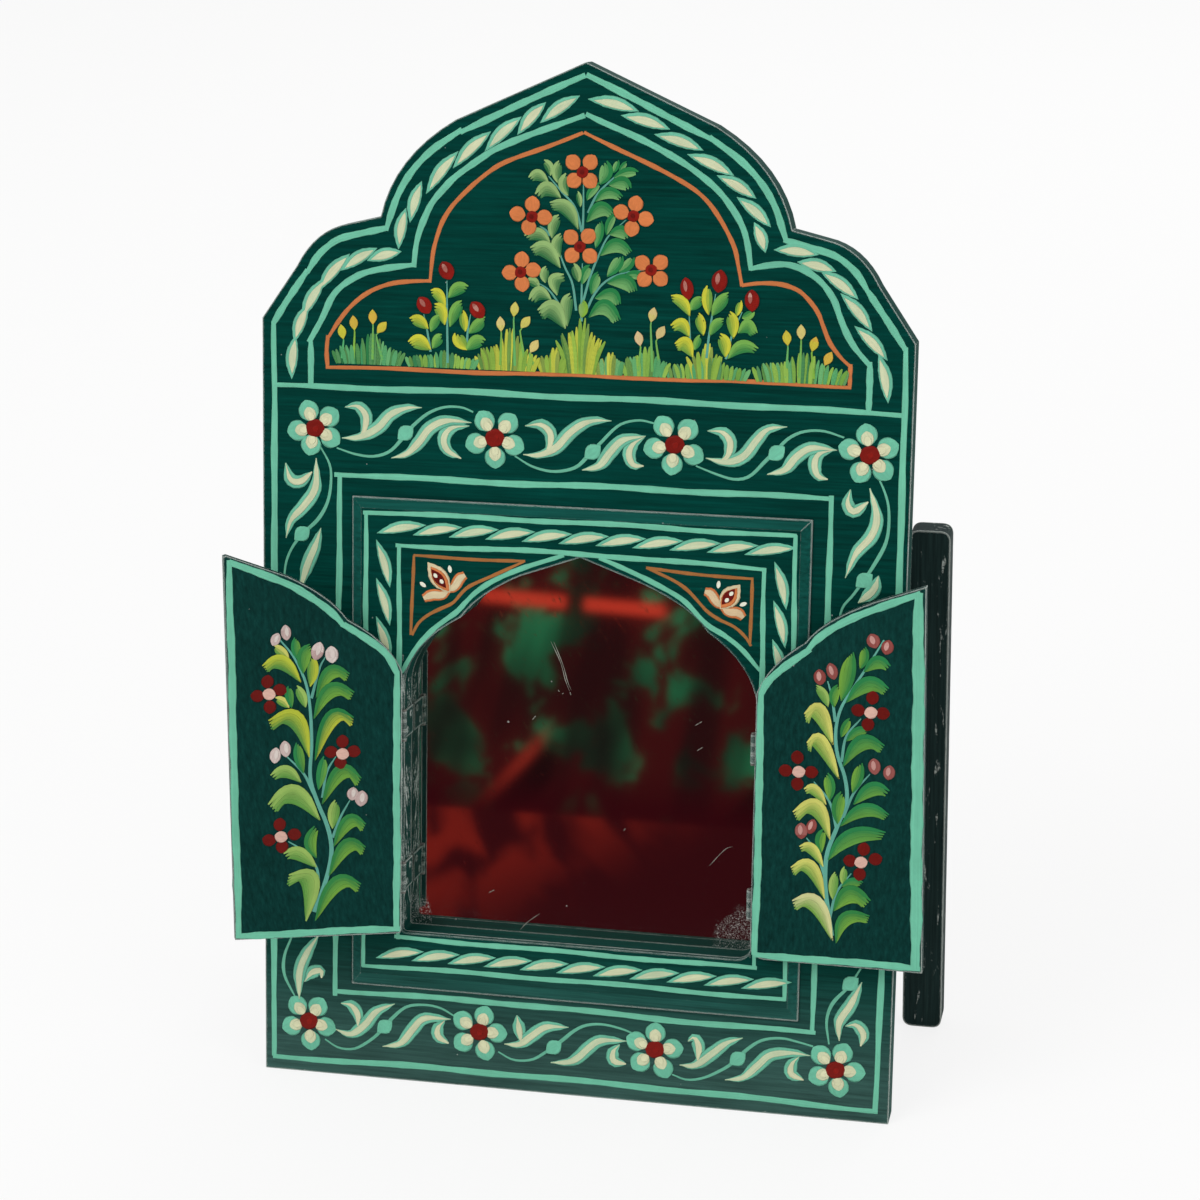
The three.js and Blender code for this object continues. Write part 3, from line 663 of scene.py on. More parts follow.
ROPE_LEFT = [
    ((-17.4, 383), (-2.2, 393.6)), ((-26.1, 378.4), (-15.2, 390.8)), ((-38.6, 372), (-24.6, 385.2)),
    ((-51.1, 365.2), (-36.4, 379.4)), ((-61.6, 355.2), (-49.1, 371.6)), ((-67.9, 344.1), (-63.3, 360)),
    ((-72.4, 333.8), (-69.5, 349.6)), ((-84.9, 329), (-71.2, 333)), ((-95.4, 324.8), (-80.9, 334)),
    ((-104.6, 316.6), (-91.8, 331.4)), ((-111.2, 305.6), (-101.6, 321.8)), ((-114.2, 296.4), (-108.4, 311.4)),
    ((-115.2, 282), (-113.6, 299)),
]
ROPE_RIGHT = [
    ((0.9, 392.4), (20.4, 388.4)), ((13.6, 386.7), (32.4, 382)), ((26.4, 380), (45.2, 374.6)),
    ((39.1, 373), (57, 365.6)), ((50.5, 365.5), (65.6, 357.4)), ((58.2, 357.7), (71.4, 347)),
    ((65, 348.6), (69.6, 337.4)), ((72.7, 338.6), (89.6, 337.4)), ((81.6, 334.4), (96.4, 331.4)),
    ((90.4, 331.4), (105, 321.4)), ((98.2, 323.4), (110.6, 309.6)), ((103.8, 311.4), (116.6, 299)),
    ((113.2, 301.4), (117.4, 283)),
]


def frame_ropes():
    """The twisted cord between the two lines on the raised frame."""
    top = [((-80 + 14.5 * i, 223.6 - 0.05 * i), (-60.2 + 14.5 * i, 227.8 - 0.1 * i)) for i in range(11)]
    foot = [((-80 + 14.8 * i, 51.2), (-60.2 + 14.8 * i, 55.4)) for i in range(11)]
    left = [((-80.2, 221 - 15.2 * i), (-74.6, 202.4 - 15.2 * i)) for i in range(10)]
    right = [((76.6, 221 - 15 * i), (81.6, 202.8 - 15 * i)) for i in range(10)]
    return top + foot + left + right


TOP_FLOWERS = [
    ((-105.7, 263.3), ((-108.3, 270), (-99.9, 268), (-99.5, 259.8), (-107.4, 256.6), (-112.8, 262))),
    ((-33.7, 262.8), ((-37.8, 269.2), (-28.5, 268.8), (-26.2, 260.3), (-33.5, 255.2), (-41.2, 260.3))),
    ((36.7, 263.6), ((32.3, 270.4), (41.7, 269.6), (43.9, 260), (35.8, 256), (28.8, 261.8))),
    ((111.2, 263.2), ((109.8, 270.8), (117.9, 266.1), (116.4, 257.6), (107.9, 256.5), (103.4, 265))),
]
FOOT_FLOWERS = [
    ((-108.7, 21.5), ((-113.5, 27.6), (-104.9, 27.8), (-101.6, 19.6), (-108, 13.4), (-115.9, 18.8))),
    ((-37.7, 23.2), ((-44.5, 27.3), (-35.8, 30), (-30.5, 23.3), (-35.3, 15.6), (-44.3, 18.2))),
    ((33.8, 22.3), ((33.9, 29.2), (41, 23.3), (37.3, 14.8), (28, 16.5), (26.3, 25))),
    ((105.7, 20.4), ((99.8, 26), (108.3, 27.5), (113.2, 20.2), (107.1, 13.5), (99.2, 17.3))),
]
LONG_LEAVES = [
    ((-94.9, 259.9), (-87.8, 260.6), (-80.3, 264.6), (-75.3, 270), (-68.7, 272.8), (-62.8, 273.2)),
    ((-74.9, 253), (-68.7, 255), (-63.7, 259.9), (-59.5, 265.4), (-52.8, 268.6), (-43, 268.3)),
    ((-22.4, 256.9), (-16.2, 257), (-9.5, 260.2), (-4.5, 265.8), (0.8, 269.8), (6, 271.4), (12, 271.5)),
    ((0.8, 252), (7.5, 254), (11.7, 259.4), (16.7, 264.4), (25.4, 266.3)),
    ((48.8, 259), (56.7, 257.8), (63.3, 260.4), (68.3, 267), (72.5, 271.2), (79.6, 272.4)),
    ((72.5, 253.9), (79.2, 256), (83.3, 261), (89.2, 264.8), (98.8, 264.4)),
    ((-97.4, 18.9), (-91.2, 17.4), (-85.3, 21.8), (-80.3, 28), (-72.8, 31.8)),
    ((-77.8, 13.4), (-70.3, 15.4), (-65.3, 21.7), (-60.3, 26.8), (-49.5, 27.4)),
    ((-27.4, 19), (-21.2, 19.4), (-16.2, 23.4), (-10.3, 27.6), (-1.2, 28.3)),
    ((-8.3, 13), (-1.2, 13.8), (3, 16.2), (7, 20.4), (12, 24), (22.5, 24.7)),
    ((43.8, 16.8), (50, 17.2), (56.7, 22.6), (62.5, 27.6), (68.8, 30.2)),
    ((62.1, 12.3), (69.2, 13.9), (75, 19.4), (80, 24.2), (88.3, 25.8), (95.8, 25.3)),
    ((-105.3, 251.5), (-105.6, 240), (-110.3, 232.4), (-115.6, 226.4), (-117.7, 219.2)),
    ((-112, 199), (-108.9, 209), (-105.6, 217), (-103.4, 224)),
    ((111.6, 250.6), (114.6, 240), (112.8, 232.4), (107.2, 225.4), (103.4, 215.8)),
    ((108.6, 206.4), (114.2, 211.6), (116, 217.4)), ((-112.8, 30.4), (-112.6, 41.7), (-109.5, 50), (-104.5, 58)),
    ((106.8, 32.4), (106.6, 40), (110.8, 47.5), (114.9, 57)),
]
HOOKS = [
    ((-93.7, 272), (-88.6, 272.6), (-85.2, 269), (-85.8, 263.4), (-87.8, 260.8)),
    ((-43.9, 267), (-51, 265.8), (-54, 261.5), (-52.4, 257), (-47, 254.2)),
    ((-21.8, 268), (-15.8, 268.8), (-11.9, 265.8), (-11.9, 261), (-13.7, 257.4)),
    ((25, 266), (20.6, 263), (19, 259), (20.8, 255), (24.8, 254.8)),
    ((49.2, 269.4), (54.8, 269.2), (58, 265.6), (57.2, 260.2), (54.2, 258)),
    ((97.5, 264.4), (91.9, 262.6), (90.4, 258.4), (91.9, 254.2), (95.6, 253.2)),
    ((-95.3, 30.1), (-91, 29.6), (-88.2, 26), (-88.2, 21.2)),
    ((-52, 26.7), (-54.8, 23.2), (-54.6, 19.6), (-50.3, 17.2)), ((-22.4, 31.4), (-21.4, 26), (-20.6, 20.8)),
    ((19.6, 23), (17.1, 20), (17.3, 16), (22.3, 15.2)), ((47, 26.8), (49.4, 28.6), (51.4, 24.8), (51, 19.4)),
    ((91.3, 24.6), (88.6, 21.4), (88.3, 17.2), (93.3, 15.1)),
    ((-117.8, 249), (-115.8, 242.6), (-111.6, 242), (-107, 246)),
    ((104.3, 249.8), (103.4, 244.4), (106, 241.4), (111.2, 245.4)),
    ((-110.6, 37.8), (-107.4, 42), (-103.6, 43), (-103.4, 40)),
    ((109, 38.6), (113.2, 39.4), (116.2, 35.8), (115.2, 31)),
]
TENDRILS = [
    (
        (-97, 255.9), (-89.5, 253.8), (-82, 253.3), (-75.3, 255.8), (-69.5, 262.2), (-66.2, 266.1), (-60.3, 271.1),
        (-53.7, 273.8), (-47, 274), (-42.4, 272.4),
    ),
    (
        (-25.8, 256.2), (-18.7, 252.4), (-10.3, 250.9), (-2, 252.8), (3, 257.5), (8, 263), (15, 270), (22.5, 272.2),
        (28.7, 271.3),
    ),
    (
        (45, 255.8), (53.3, 252.9), (60, 251.4), (65.8, 252.9), (71.7, 259), (75.8, 263.2), (80, 267.8), (85.8, 270.8),
        (93.3, 271.4), (101.3, 269.3),
    ),
    (
        (-102, 14.3), (-96.2, 11.2), (-89.5, 11.4), (-83.7, 15), (-79.5, 18.8), (-73.7, 25.8), (-67.8, 31),
        (-60.3, 32.4), (-53.7, 31.6), (-48.3, 28.9),
    ),
    (
        (-29.9, 15.5), (-23.7, 12.7), (-16.2, 13.4), (-10.3, 17.2), (-4, 22.4), (1, 27), (6, 29.8), (12.5, 30.7),
        (20, 29.6), (25, 28),
    ),
    (
        (40.8, 12.6), (46.7, 10.9), (53.3, 12.2), (60, 15.8), (64.6, 19.2), (70.8, 25.8), (76.7, 30), (84.2, 31.4),
        (90.8, 30.4), (96.6, 29.2),
    ),
    (
        (-103.6, 256), (-99.8, 249), (-99.4, 241.7), (-100.8, 234.2), (-104.5, 227.5), (-110, 222), (-114.5, 216.7),
        (-117.6, 210), (-118.7, 202),
    ),
    (
        (113.8, 256.4), (117.4, 249), (119.1, 241.7), (118.5, 230.8), (113.7, 220.6), (107, 210), (102.6, 204),
        (101.4, 196),
    ),
    ((-114.5, 31), (-119, 40), (-119, 48), (-115.6, 57)),
    ((102.8, 30.6), (101.6, 40), (103.8, 47.5), (110, 55), (114.2, 62.4)),
]
VINE_BUDS = [
    (-69.3, 263), (4.8, 259.2), (75.8, 262.2), (-77, 21.8), (-7.2, 19.4), (66.9, 21.4), (-111.2, 221.2),
    (110.6, 215.2), (110.4, 56),
]

BOUQUET_FLOWERS = [
    ((-0.7, 365.2), ((-4.4, 368.8), (2.2, 369), (2.2, 362.1), (-3.9, 362))),
    ((-20, 347.9), ((-19.9, 352.6), (-15.2, 347.8), (-21.2, 344), (-25.7, 348.8))),
    ((19.1, 349.4), ((19.9, 354), (23.8, 348.5), (18.6, 344.8), (14.4, 350.8))),
    ((-1.3, 337.2), ((-4.8, 340.7), (1.9, 341.3), (2.6, 333.9), (-4.3, 333.9))),
    ((-24.2, 326.8), ((-23.8, 331.6), (-19.4, 327.8), (-23.6, 322.5), (-28.4, 326.5))),
    ((26.3, 329.4), ((22.9, 332), (29.8, 332.4), (29.9, 326.3), (23.8, 325.9))),
]
BOUQUET_STEMS = [
    ((-0.3, 309), (-0.4, 320), (-0.3, 331)), ((-0.4, 342), (-0.2, 350), (-0.3, 361)),
    ((-0.7, 342.9), (-3.5, 352), (-9, 358), (-13.8, 363.3)),
    ((-2.4, 313), (-4, 323.1), (-6.9, 329), (-9, 334.6), (-9.9, 341)), ((-13, 341), (-14.6, 343), (-17, 344.4)),
    ((-6.5, 311), (-10.4, 317.1), (-13.6, 320.8), (-17, 322.8)),
    ((0.2, 316.5), (2.9, 326.3), (6.2, 334.6), (9.6, 341.5), (16.3, 347.9)),
    ((1.8, 313.8), (4.8, 319.9), (9.4, 324.9), (16.3, 328.1), (23.4, 329.2)),
    ((1.6, 350), (4.8, 356.7), (9.4, 361.7), (14.2, 366)),
]
# Start at the stem, top of the bend, end; then the brush's half width.
BOUQUET_LEFT = [
    (-13.1, 363.6, -13.6, 366.8, -15.9, 369.2, 1.2), (-13.8, 361, -17.8, 363.6, -21.6, 362.2, 1.8),
    (-9, 355.4, -14.2, 358.6, -18.9, 355.9, 2.3), (-2.1, 343.8, -6.6, 351.4, -13.6, 353, 2.5),
    (-6.2, 356.2, -8, 360.4, -6.8, 364.6, 1.4), (-10.1, 360.8, -10.7, 365, -9.5, 369.2, 1.6),
    (-1.4, 352.1, -1.8, 355, -2.6, 358, 0.8), (-12.2, 340.1, -11.6, 345.2, -9.2, 348.8, 1.8),
    (-12.9, 338.3, -17.4, 341.4, -23, 340.2, 2.0), (-8.8, 329, -14.4, 335.6, -20.9, 335.6, 2.8),
    (-8.8, 333, -10.4, 337.6, -8.4, 342, 1.7), (-1.6, 324, -2.3, 327.2, -3.9, 330.8, 1.3),
    (-14.5, 323.1, -15, 326.3, -14, 329.4, 1.5), (-9.9, 318.6, -11, 324, -6.9, 326.4, 2.1),
    (-16.8, 321.5, -19.2, 323.3, -21.8, 323.5, 1.3), (-12.2, 316.8, -16.6, 319.2, -20.8, 316, 2.2),
    (-6.5, 306, -11.4, 313, -17.8, 311.9, 3.3), (-5.8, 307, -6.2, 314.8, -4.4, 319.4, 2.0),
]
BOUQUET_RIGHT = [
    (6.2, 360.8, 8.3, 365.2, 8, 369.8, 2.1), (10.8, 365.2, 12, 367.4, 12.9, 370.2, 0.8),
    (13.3, 365.7, 14.6, 367.6, 16.3, 369.6, 0.7), (11.3, 363.6, 16.3, 365.6, 20.8, 365.7, 1.3),
    (9.4, 360.8, 14.6, 361.6, 18, 359.3, 2.1), (4.3, 354.4, 9.2, 357.8, 15, 356.2, 1.8),
    (1.1, 346.6, 6.2, 351.6, 12, 350.2, 2.5), (1.1, 354.8, 2.9, 358.1, 6.2, 361.3, 1.1),
    (8.9, 342, 9.9, 346.1, 12.1, 350, 1.1), (4.8, 336.9, 6, 342.4, 6.4, 347.3, 1.5),
    (9.9, 342.4, 14.4, 343.4, 18, 341, 2.0), (6.4, 334.1, 12.4, 338.2, 18.8, 335.6, 2.4),
    (9.4, 326.3, 12.8, 330.7, 14.9, 334.6, 1.8), (14, 328.1, 17.3, 330.9, 19.5, 334.2, 1.3),
    (16.3, 327.2, 20.2, 327.4, 23, 326.4, 1.2), (9.4, 324, 16.2, 324.6, 20.8, 320.8, 2.6),
    (4.8, 318, 11, 319.3, 14.6, 315.6, 2.5), (2.5, 310.7, 8.4, 314.8, 14.8, 309.6, 2.7),
    (-0.3, 323.1, 0.8, 327.2, 2.9, 330.4, 1.3), (3.4, 319.4, 4.6, 324, 6.2, 327.9, 1.6),
]

# Side plants: stem, buds (x, z, turn, half length), leaves as above plus 1 for a yellow top and 0 for a green one.
PLANTS = [
    {
        "stems": [
            ((-52.6, 291), (-52.9, 306), (-53.1, 322.5)), ((-59.4, 295), (-60.8, 303), (-62.2, 309.4)),
            ((-45.1, 298), (-44.7, 304), (-43.7, 310)),
        ],
        "buds": [(-53.3, 326.4, 118, 3.7, 3.0), (-62, 312.8, 125, 3.6, 2.9), (-41, 311.8, 128, 3.7, 2.9)],
        "leaves": [
            (-52.5, 316, -48.9, 319.6, -44.4, 320.3, 2.0, 0), (-53.6, 312.4, -56.4, 317, -59.8, 318.3, 1.8, 1),
            (-51.8, 304.9, -49.6, 311, -46.8, 314.9, 1.9, 0), (-53.9, 305.6, -55.4, 311, -58.4, 313.2, 2.0, 1),
            (-60.4, 303.8, -63.9, 306.6, -68, 307.1, 1.9, 1), (-59.3, 302.7, -57.9, 306.3, -55.7, 309.1, 1.5, 0),
            (-59.3, 295.8, -63.7, 298.6, -68.5, 297.9, 2.6, 1), (-58.6, 296.3, -56.6, 299.6, -54.6, 301.6, 1.7, 0),
            (-45, 296.4, -47.9, 299.6, -49.4, 302.9, 2.1, 1), (-45.7, 303.4, -46.3, 307, -46.9, 311.4, 1.2, 1),
            (-44.3, 302.7, -41, 305.8, -37.6, 308.9, 1.8, 0), (-45.4, 296.3, -41.4, 299.6, -37.5, 299.9, 2.1, 0),
        ],
    },
    {
        "stems": [
            ((48.2, 297), (49, 306), (51.1, 321.3)), ((42.1, 298), (41.6, 306), (41.2, 313)),
            ((55.6, 297), (58, 307), (61.4, 315)),
        ],
        "buds": [(52.5, 326.2, 84, 4.3, 3.0), (40.2, 323, 100, 4.2, 2.5), (65, 319.4, 92, 4.1, 2.8)],
        "leaves": [
            (41.4, 312.7, 38.6, 317.6, 33.8, 319.8, 1.8, 1), (41.8, 314.9, 43.8, 317.6, 46.4, 319.6, 1.7, 0),
            (48.6, 313.4, 47.9, 319, 48.2, 324.4, 1.4, 1), (50, 313.1, 52.7, 317.6, 56.4, 321.8, 1.9, 0),
            (59.3, 313.4, 60, 316, 60.7, 319.3, 0.9, 1), (61.4, 312.7, 63.6, 313.6, 65.9, 315.4, 1.1, 0),
            (41.4, 304.9, 38.6, 309.2, 34, 308.4, 2.1, 1), (46.8, 305.6, 45.7, 309.9, 44.5, 313.9, 1.6, 1),
            (49.3, 305.6, 51.4, 309.6, 54.8, 311.9, 1.6, 0), (58.2, 304.9, 57.9, 310.6, 56.3, 314.9, 1.9, 1),
            (60, 307, 63.4, 309.8, 67.3, 306.8, 2.4, 0), (42.9, 297.2, 40, 302, 35.6, 301.5, 2.5, 1),
            (55.4, 297.7, 55, 302.7, 52.8, 306.4, 2.0, 1), (56.4, 297.2, 61.4, 301.9, 68, 301.1, 2.0, 0),
            (43.6, 299.9, 44.4, 302.6, 45.7, 305.6, 1.0, 0),
        ],
    },
]
# Tufts: from, to, height of the middle, height of the sides, tone names, how many blades.
TUFTS = [
    (-97.5, -70.5, 12.5, 4.5, "jade", "leaf", 26), (-68.5, -41, 7, 3.5, "lime", "jade", 24),
    (-40.5, -17.5, 17, 4.5, "lime", "straw", 26), (-16, -6, 10, 4.5, "lime", "straw", 12),
    (-6.5, 5.5, 22, 12, "straw", "lime", 15), (5, 16.5, 9, 4.5, "jade", "straw", 13),
    (16.6, 33, 12, 5.0, "jade", "lime", 17), (33, 64.5, 8.5, 4.0, "lime", "jade", 27),
    (43, 53, 14, 8, "lime", "straw", 11), (67, 101, 12, 5.0, "jade", "lime", 30),
]
TUFT_BUDS = [
    (-94.8, 301.3, 100, 0), (-90.1, 304.9, 96, 0), (-82.5, 307.5, 92, 0), (-78.9, 303.6, 50, 0), (-31.8, 306.8, 95, 1),
    (-26.4, 312.6, 84, 1), (-22.1, 307.8, 52, 1), (-18.6, 298.8, 58, 1), (22.1, 303.4, 102, 2), (27.2, 312.6, 78, 2),
    (30.4, 306, 60, 2), (78.6, 305.9, 98, 0), (83.9, 308.3, 92, 1), (88.9, 304, 76, 0), (94.4, 298.8, 64, 0),
]

CORNER_LINES = [
    [(-65.2, 215.4), (-45, 215.4), (-20.6, 216)],
    [
        (-20.6, 216), (-31.5, 210.1), (-42.3, 204.5), (-46.2, 200.8), (-49.2, 197.4), (-54.6, 194.7), (-59.2, 192.2),
        (-63.1, 188.9), (-65.8, 184),
    ],
    [(-65.9, 184), (-65.7, 199), (-65.1, 215.6)], [(27.2, 215.8), (46.5, 214.7), (68.3, 213.9)],
    [
        (27.2, 215.8), (38.1, 211.2), (43.5, 207.8), (48.1, 203.2), (51.2, 200.1), (55.8, 197.4), (61.5, 195.1),
        (65.8, 191.6), (68.2, 188.1),
    ],
    [(68.1, 214.2), (68.3, 202), (68.2, 188.2)],
]

SPRAYS = {
    "left": {
        "stems": [
            (
                (35.9, 74.5), (31.8, 85.5), (29.5, 94.5), (29.1, 101.8), (30.9, 110), (34.5, 119.1), (37.3, 129.1),
                (36.8, 142.7), (37.3, 156.4), (39.1, 167.3), (43.6, 177.3), (49.1, 184.5),
            ),
            ((36.8, 160.8), (33.6, 172.7), (31.2, 177.3)), ((32.6, 120.8), (30.9, 130.9), (27.3, 137.3)),
            ((28.6, 104.5), (25.5, 112.7), (21.8, 119.4)), ((36, 122.6), (40, 130.9), (46.6, 138)),
            ((34.1, 84), (35, 92.7), (40.9, 100), (46, 103.6)),
        ],
        "flowers": [
            ((53.2, 162.9), ((53.8, 167.9), (57.7, 162.3), (52.9, 157.8), (49, 164.5))),
            ((24.7, 138.2), ((24.7, 143.2), (29.2, 139.1), (25.5, 134.6), (20.3, 139.1))),
            ((48.8, 105.6), ((49.3, 110.6), (53.5, 104.4), (48.4, 101.6), (43.6, 106.4))),
        ],
        "buds": [
            (28.9, 178, 96, 3.4, 2.6), (34.4, 179.5, 74, 3.7, 2.5), (46.6, 187.1, 96, 3.1, 2.0),
            (50.6, 184.5, 66, 2.7, 1.9), (47, 140.9, 96, 3.3, 2.2), (50.9, 138.4, 84, 3.2, 2.2),
            (17.3, 120, 84, 3.2, 2.6), (20.7, 122, 84, 2.7, 2.3),
        ],
        "leaves": [
            (35, 160.9, 29.4, 170.8, 21.6, 169.6, 2.5, "leaf", "lime"),
            (35.9, 152.7, 29.4, 163.6, 19.8, 162.2, 2.7, "leaf", "lime"),
            (35.5, 135.9, 28.8, 152.6, 19.8, 152.2, 2.8, "leaf", "straw"),
            (32.7, 118.2, 25.2, 130.9, 17, 127.6, 2.8, "leaf", "lime"),
            (28.2, 100.9, 22, 110.8, 15.2, 109, 2.6, "leaf", "lime"),
            (30, 89.1, 23, 100.8, 15.2, 99.6, 2.7, "leaf", "lime"),
            (35.5, 70.9, 27, 85.6, 17, 84.6, 2.8, "leaf", "lime"),
            (39.1, 70.9, 37.6, 87.6, 46.6, 89.7, 3.4, "lime", "leaf"),
            (35, 92.7, 41.6, 98.4, 48, 98.2, 2.3, "lime", "leaf"),
            (33.6, 111.8, 43.6, 122.6, 54, 118, 3.5, "lime", "leaf"),
            (40.9, 127.3, 46.6, 131.8, 52.9, 130, 2.1, "lime", "leaf"),
            (37.7, 137.3, 43.2, 152.6, 54, 151.8, 3.1, "straw", "leaf"),
            (39.1, 157.3, 40.4, 161.6, 42.7, 165.9, 1.3, "lime", "leaf"),
            (44.5, 157.3, 45.4, 161.8, 45.5, 166, 1.2, "leaf", "leaf"),
            (45.5, 157.3, 48, 159.8, 51, 161.2, 1.2, "straw", "lime"),
            (40.9, 167.3, 48.2, 175.4, 56, 173.6, 2.6, "straw", "leaf"),
            (45.5, 176.8, 48.4, 179.6, 51.6, 182, 1.3, "straw", "lime"),
            (40, 170.8, 39.6, 177.6, 36.8, 182.2, 2.4, "leaf", "lime"),
            (41.8, 176.3, 42.8, 180.4, 42.9, 185.2, 1.5, "leaf", "jade"),
            (37.3, 165.5, 36.2, 171.6, 36.6, 177.5, 1.8, "straw", "leaf"),
            (40, 130.9, 41.6, 137.2, 42.3, 143.4, 1.7, "leaf", "jade"),
            (34.1, 124.1, 32.9, 131, 31.7, 137.4, 1.4, "leaf", "jade"),
            (28.6, 108.2, 28.2, 114.2, 27.1, 119.7, 1.9, "lime", "leaf"),
            (35, 96.5, 37.4, 102.7, 35.2, 109.5, 2.0, "leaf", "lime"),
        ],
    },
    "right": {
        "stems": [
            (
                (33.2, 77.5), (31.4, 87.5), (30, 99.3), (30.5, 110.2), (34.1, 121.1), (37.3, 131.1), (36.4, 140.2),
                (33.2, 149.3), (32.3, 158.4), (34.1, 167.5), (39.1, 176.5), (45.5, 187.5), (49.5, 194.7),
            ),
            ((32, 161.9), (30.5, 171.1), (28.6, 177.5)), ((34.9, 146.5), (36.4, 156.5), (41.8, 163.8)),
            ((36.2, 124.6), (40, 134.7), (45.9, 142.5)), ((33.9, 119.6), (30.9, 130.2), (24.5, 137.9)),
            ((30, 100.1), (26.4, 110.2), (22.3, 115.6)), ((32.1, 83.7), (34.5, 94.7), (40, 102.9)),
        ],
        "flowers": [
            ((45.5, 166.4), ((45.9, 172.2), (50, 166.4), (44.5, 161.8), (40.6, 167))),
            ((18.6, 141.4), ((17.9, 147), (23.4, 141.6), (18.2, 136.6), (13.5, 141.5))),
            ((43.6, 107.6), ((44.5, 112.9), (49.1, 109.3), (43.2, 102.9), (39.4, 107.9))),
        ],
        "buds": [
            (45.5, 194.1, 112, 2.9, 2.6), (50.9, 192, 78, 2.9, 2.4), (25.6, 178.8, 96, 3.1, 2.4),
            (30.2, 181.4, 108, 3.3, 2.2), (47.5, 145.6, 98, 3.2, 2.4), (53.2, 143.6, 84, 2.9, 2.3),
            (20.2, 118.2, 92, 3.2, 2.5), (24.1, 120.2, 72, 3.1, 2.0),
        ],
        "leaves": [
            (31.4, 152.9, 25.4, 165.4, 19.6, 163.6, 3.0, "straw", "lime"),
            (34.1, 139.7, 26.2, 153.6, 20.9, 152.4, 2.8, "straw", "lime"),
            (31.4, 115.6, 25.6, 127.8, 16.4, 124.8, 3.0, "straw", "lime"),
            (30, 92, 24, 104, 16.2, 102.9, 2.6, "straw", "lime"),
            (33.6, 75.6, 26.6, 89.6, 17, 89.6, 3.0, "cream", "lime"),
            (29.1, 104.7, 24.4, 111.4, 19.4, 111.6, 1.8, "straw", "lime"),
            (29.5, 129.3, 24.8, 134.7, 20.6, 134.4, 1.8, "straw", "lime"),
            (29.1, 167.5, 27.2, 172, 24, 175.4, 1.5, "lime", "leaf"),
            (31.4, 167.5, 31.2, 172, 32.8, 176.3, 1.6, "leaf", "lime"),
            (30.9, 131.1, 30.7, 136.6, 29.3, 141.7, 1.8, "leaf", "lime"),
            (34.1, 122, 34.1, 128.6, 35.6, 134.8, 2.0, "leaf", "lime"),
            (28.2, 110.2, 27.6, 115, 28.9, 119.5, 1.4, "leaf", "lime"),
            (33.2, 92, 33.2, 97.4, 34.1, 103, 1.5, "lime", "leaf"),
            (36.8, 98.4, 37, 101.6, 37.5, 105.4, 1.0, "lime", "leaf"),
            (34.1, 170.2, 36, 179.6, 37.4, 189.4, 2.6, "leaf", "lime"),
            (40.9, 182.9, 42.2, 187.4, 42.2, 191.7, 1.5, "leaf", "lime"),
            (42.3, 182, 47.2, 186, 52.4, 184.4, 2.1, "leaf", "jade"),
            (35.9, 169.7, 43.8, 177.2, 52.2, 175.6, 2.7, "leaf", "jade"),
            (34.5, 156.1, 35.8, 159.8, 37.7, 163.6, 1.1, "leaf", "lime"),
            (36.4, 154.7, 40.5, 158.4, 45, 159.8, 1.6, "leaf", "jade"),
            (35.5, 144.7, 42.3, 154.4, 51.4, 153.4, 2.7, "leaf", "jade"),
            (39.5, 134.7, 41.2, 140.6, 42.3, 146.7, 1.8, "leaf", "lime"),
            (40, 130.2, 46.8, 136.6, 53.8, 136, 2.3, "leaf", "jade"),
            (35, 121.1, 44, 128.2, 53.9, 126.6, 2.4, "leaf", "jade"),
            (30.9, 107.5, 39.4, 117.2, 53, 119.6, 2.8, "leaf", "jade"),
            (33.6, 87.5, 39.6, 94.6, 48, 92, 3.2, "leaf", "lime"),
            (36.4, 97.5, 40.4, 99.4, 44.8, 99.4, 1.5, "leaf", "jade"),
            (35, 74.7, 38.4, 84.6, 48, 86.2, 2.4, "leaf", "lime"),
        ],
    },
}
SHUTTER_BORDER = {
    "left": [
        [(3.1, 65.4), (3.4, 120), (3.3, 171)], [(3.3, 170), (6, 175.6), (9.6, 179.6), (15.4, 183.8), (24.6, 189.6)],
        [(24.2, 189.4), (26.4, 192.4), (31, 196.8), (38.6, 202.2), (47, 206.8), (68.4, 214.9)],
        [(68.2, 216), (67.2, 150), (65.4, 65.2)], [(2, 66), (34, 66.1), (66.8, 66)],
    ],
    "right": [
        [(3.4, 67), (3.5, 120), (3.2, 171.6)], [(3.2, 170.6), (5.4, 175.4), (9.6, 180), (14, 183.8), (21.4, 189.4)],
        [(21, 189.2), (23.8, 192.9), (29.6, 197.8), (37.6, 202.6), (46.6, 206.7), (62.6, 213)],
        [(62, 213.8), (63.8, 150), (65.8, 67)], [(3.4, 67.4), (34, 67.4), (67.6, 67.2)],
    ],
}


LEAF_TONES = {
    ("leaf", "lime"): lambda: (blend(tone("leaf"), tone("lime"), 0.06), blend(tone("lime"), tone("leaf"), 0.25)),
    ("leaf", "straw"): lambda: (tone("leaf"), blend(tone("straw"), tone("lime"), 0.2)),
    ("leaf", "leaf"): lambda: (tone("leaf"), blend(tone("leaf"), tone("lime"), 0.3)),
    ("leaf", "jade"): lambda: (blend(tone("leaf"), tone("jade"), 0.12), blend(tone("leaf"), tone("lime"), 0.5)),
    ("lime", "leaf"): lambda: (blend(tone("lime"), tone("cream"), 0.18), blend(tone("leaf"), tone("lime"), 0.35)),
    ("straw", "leaf"): lambda: (blend(tone("straw"), tone("lime"), 0.3), blend(tone("leaf"), tone("lime"), 0.2)),
    ("straw", "lime"): lambda: (blend(tone("straw"), tone("cream"), 0.25), blend(tone("leaf"), tone("lime"), 0.45)),
    ("cream", "lime"): lambda: (blend(tone("cream"), tone("straw"), 0.35), blend(tone("lime"), tone("leaf"), 0.4)),
}


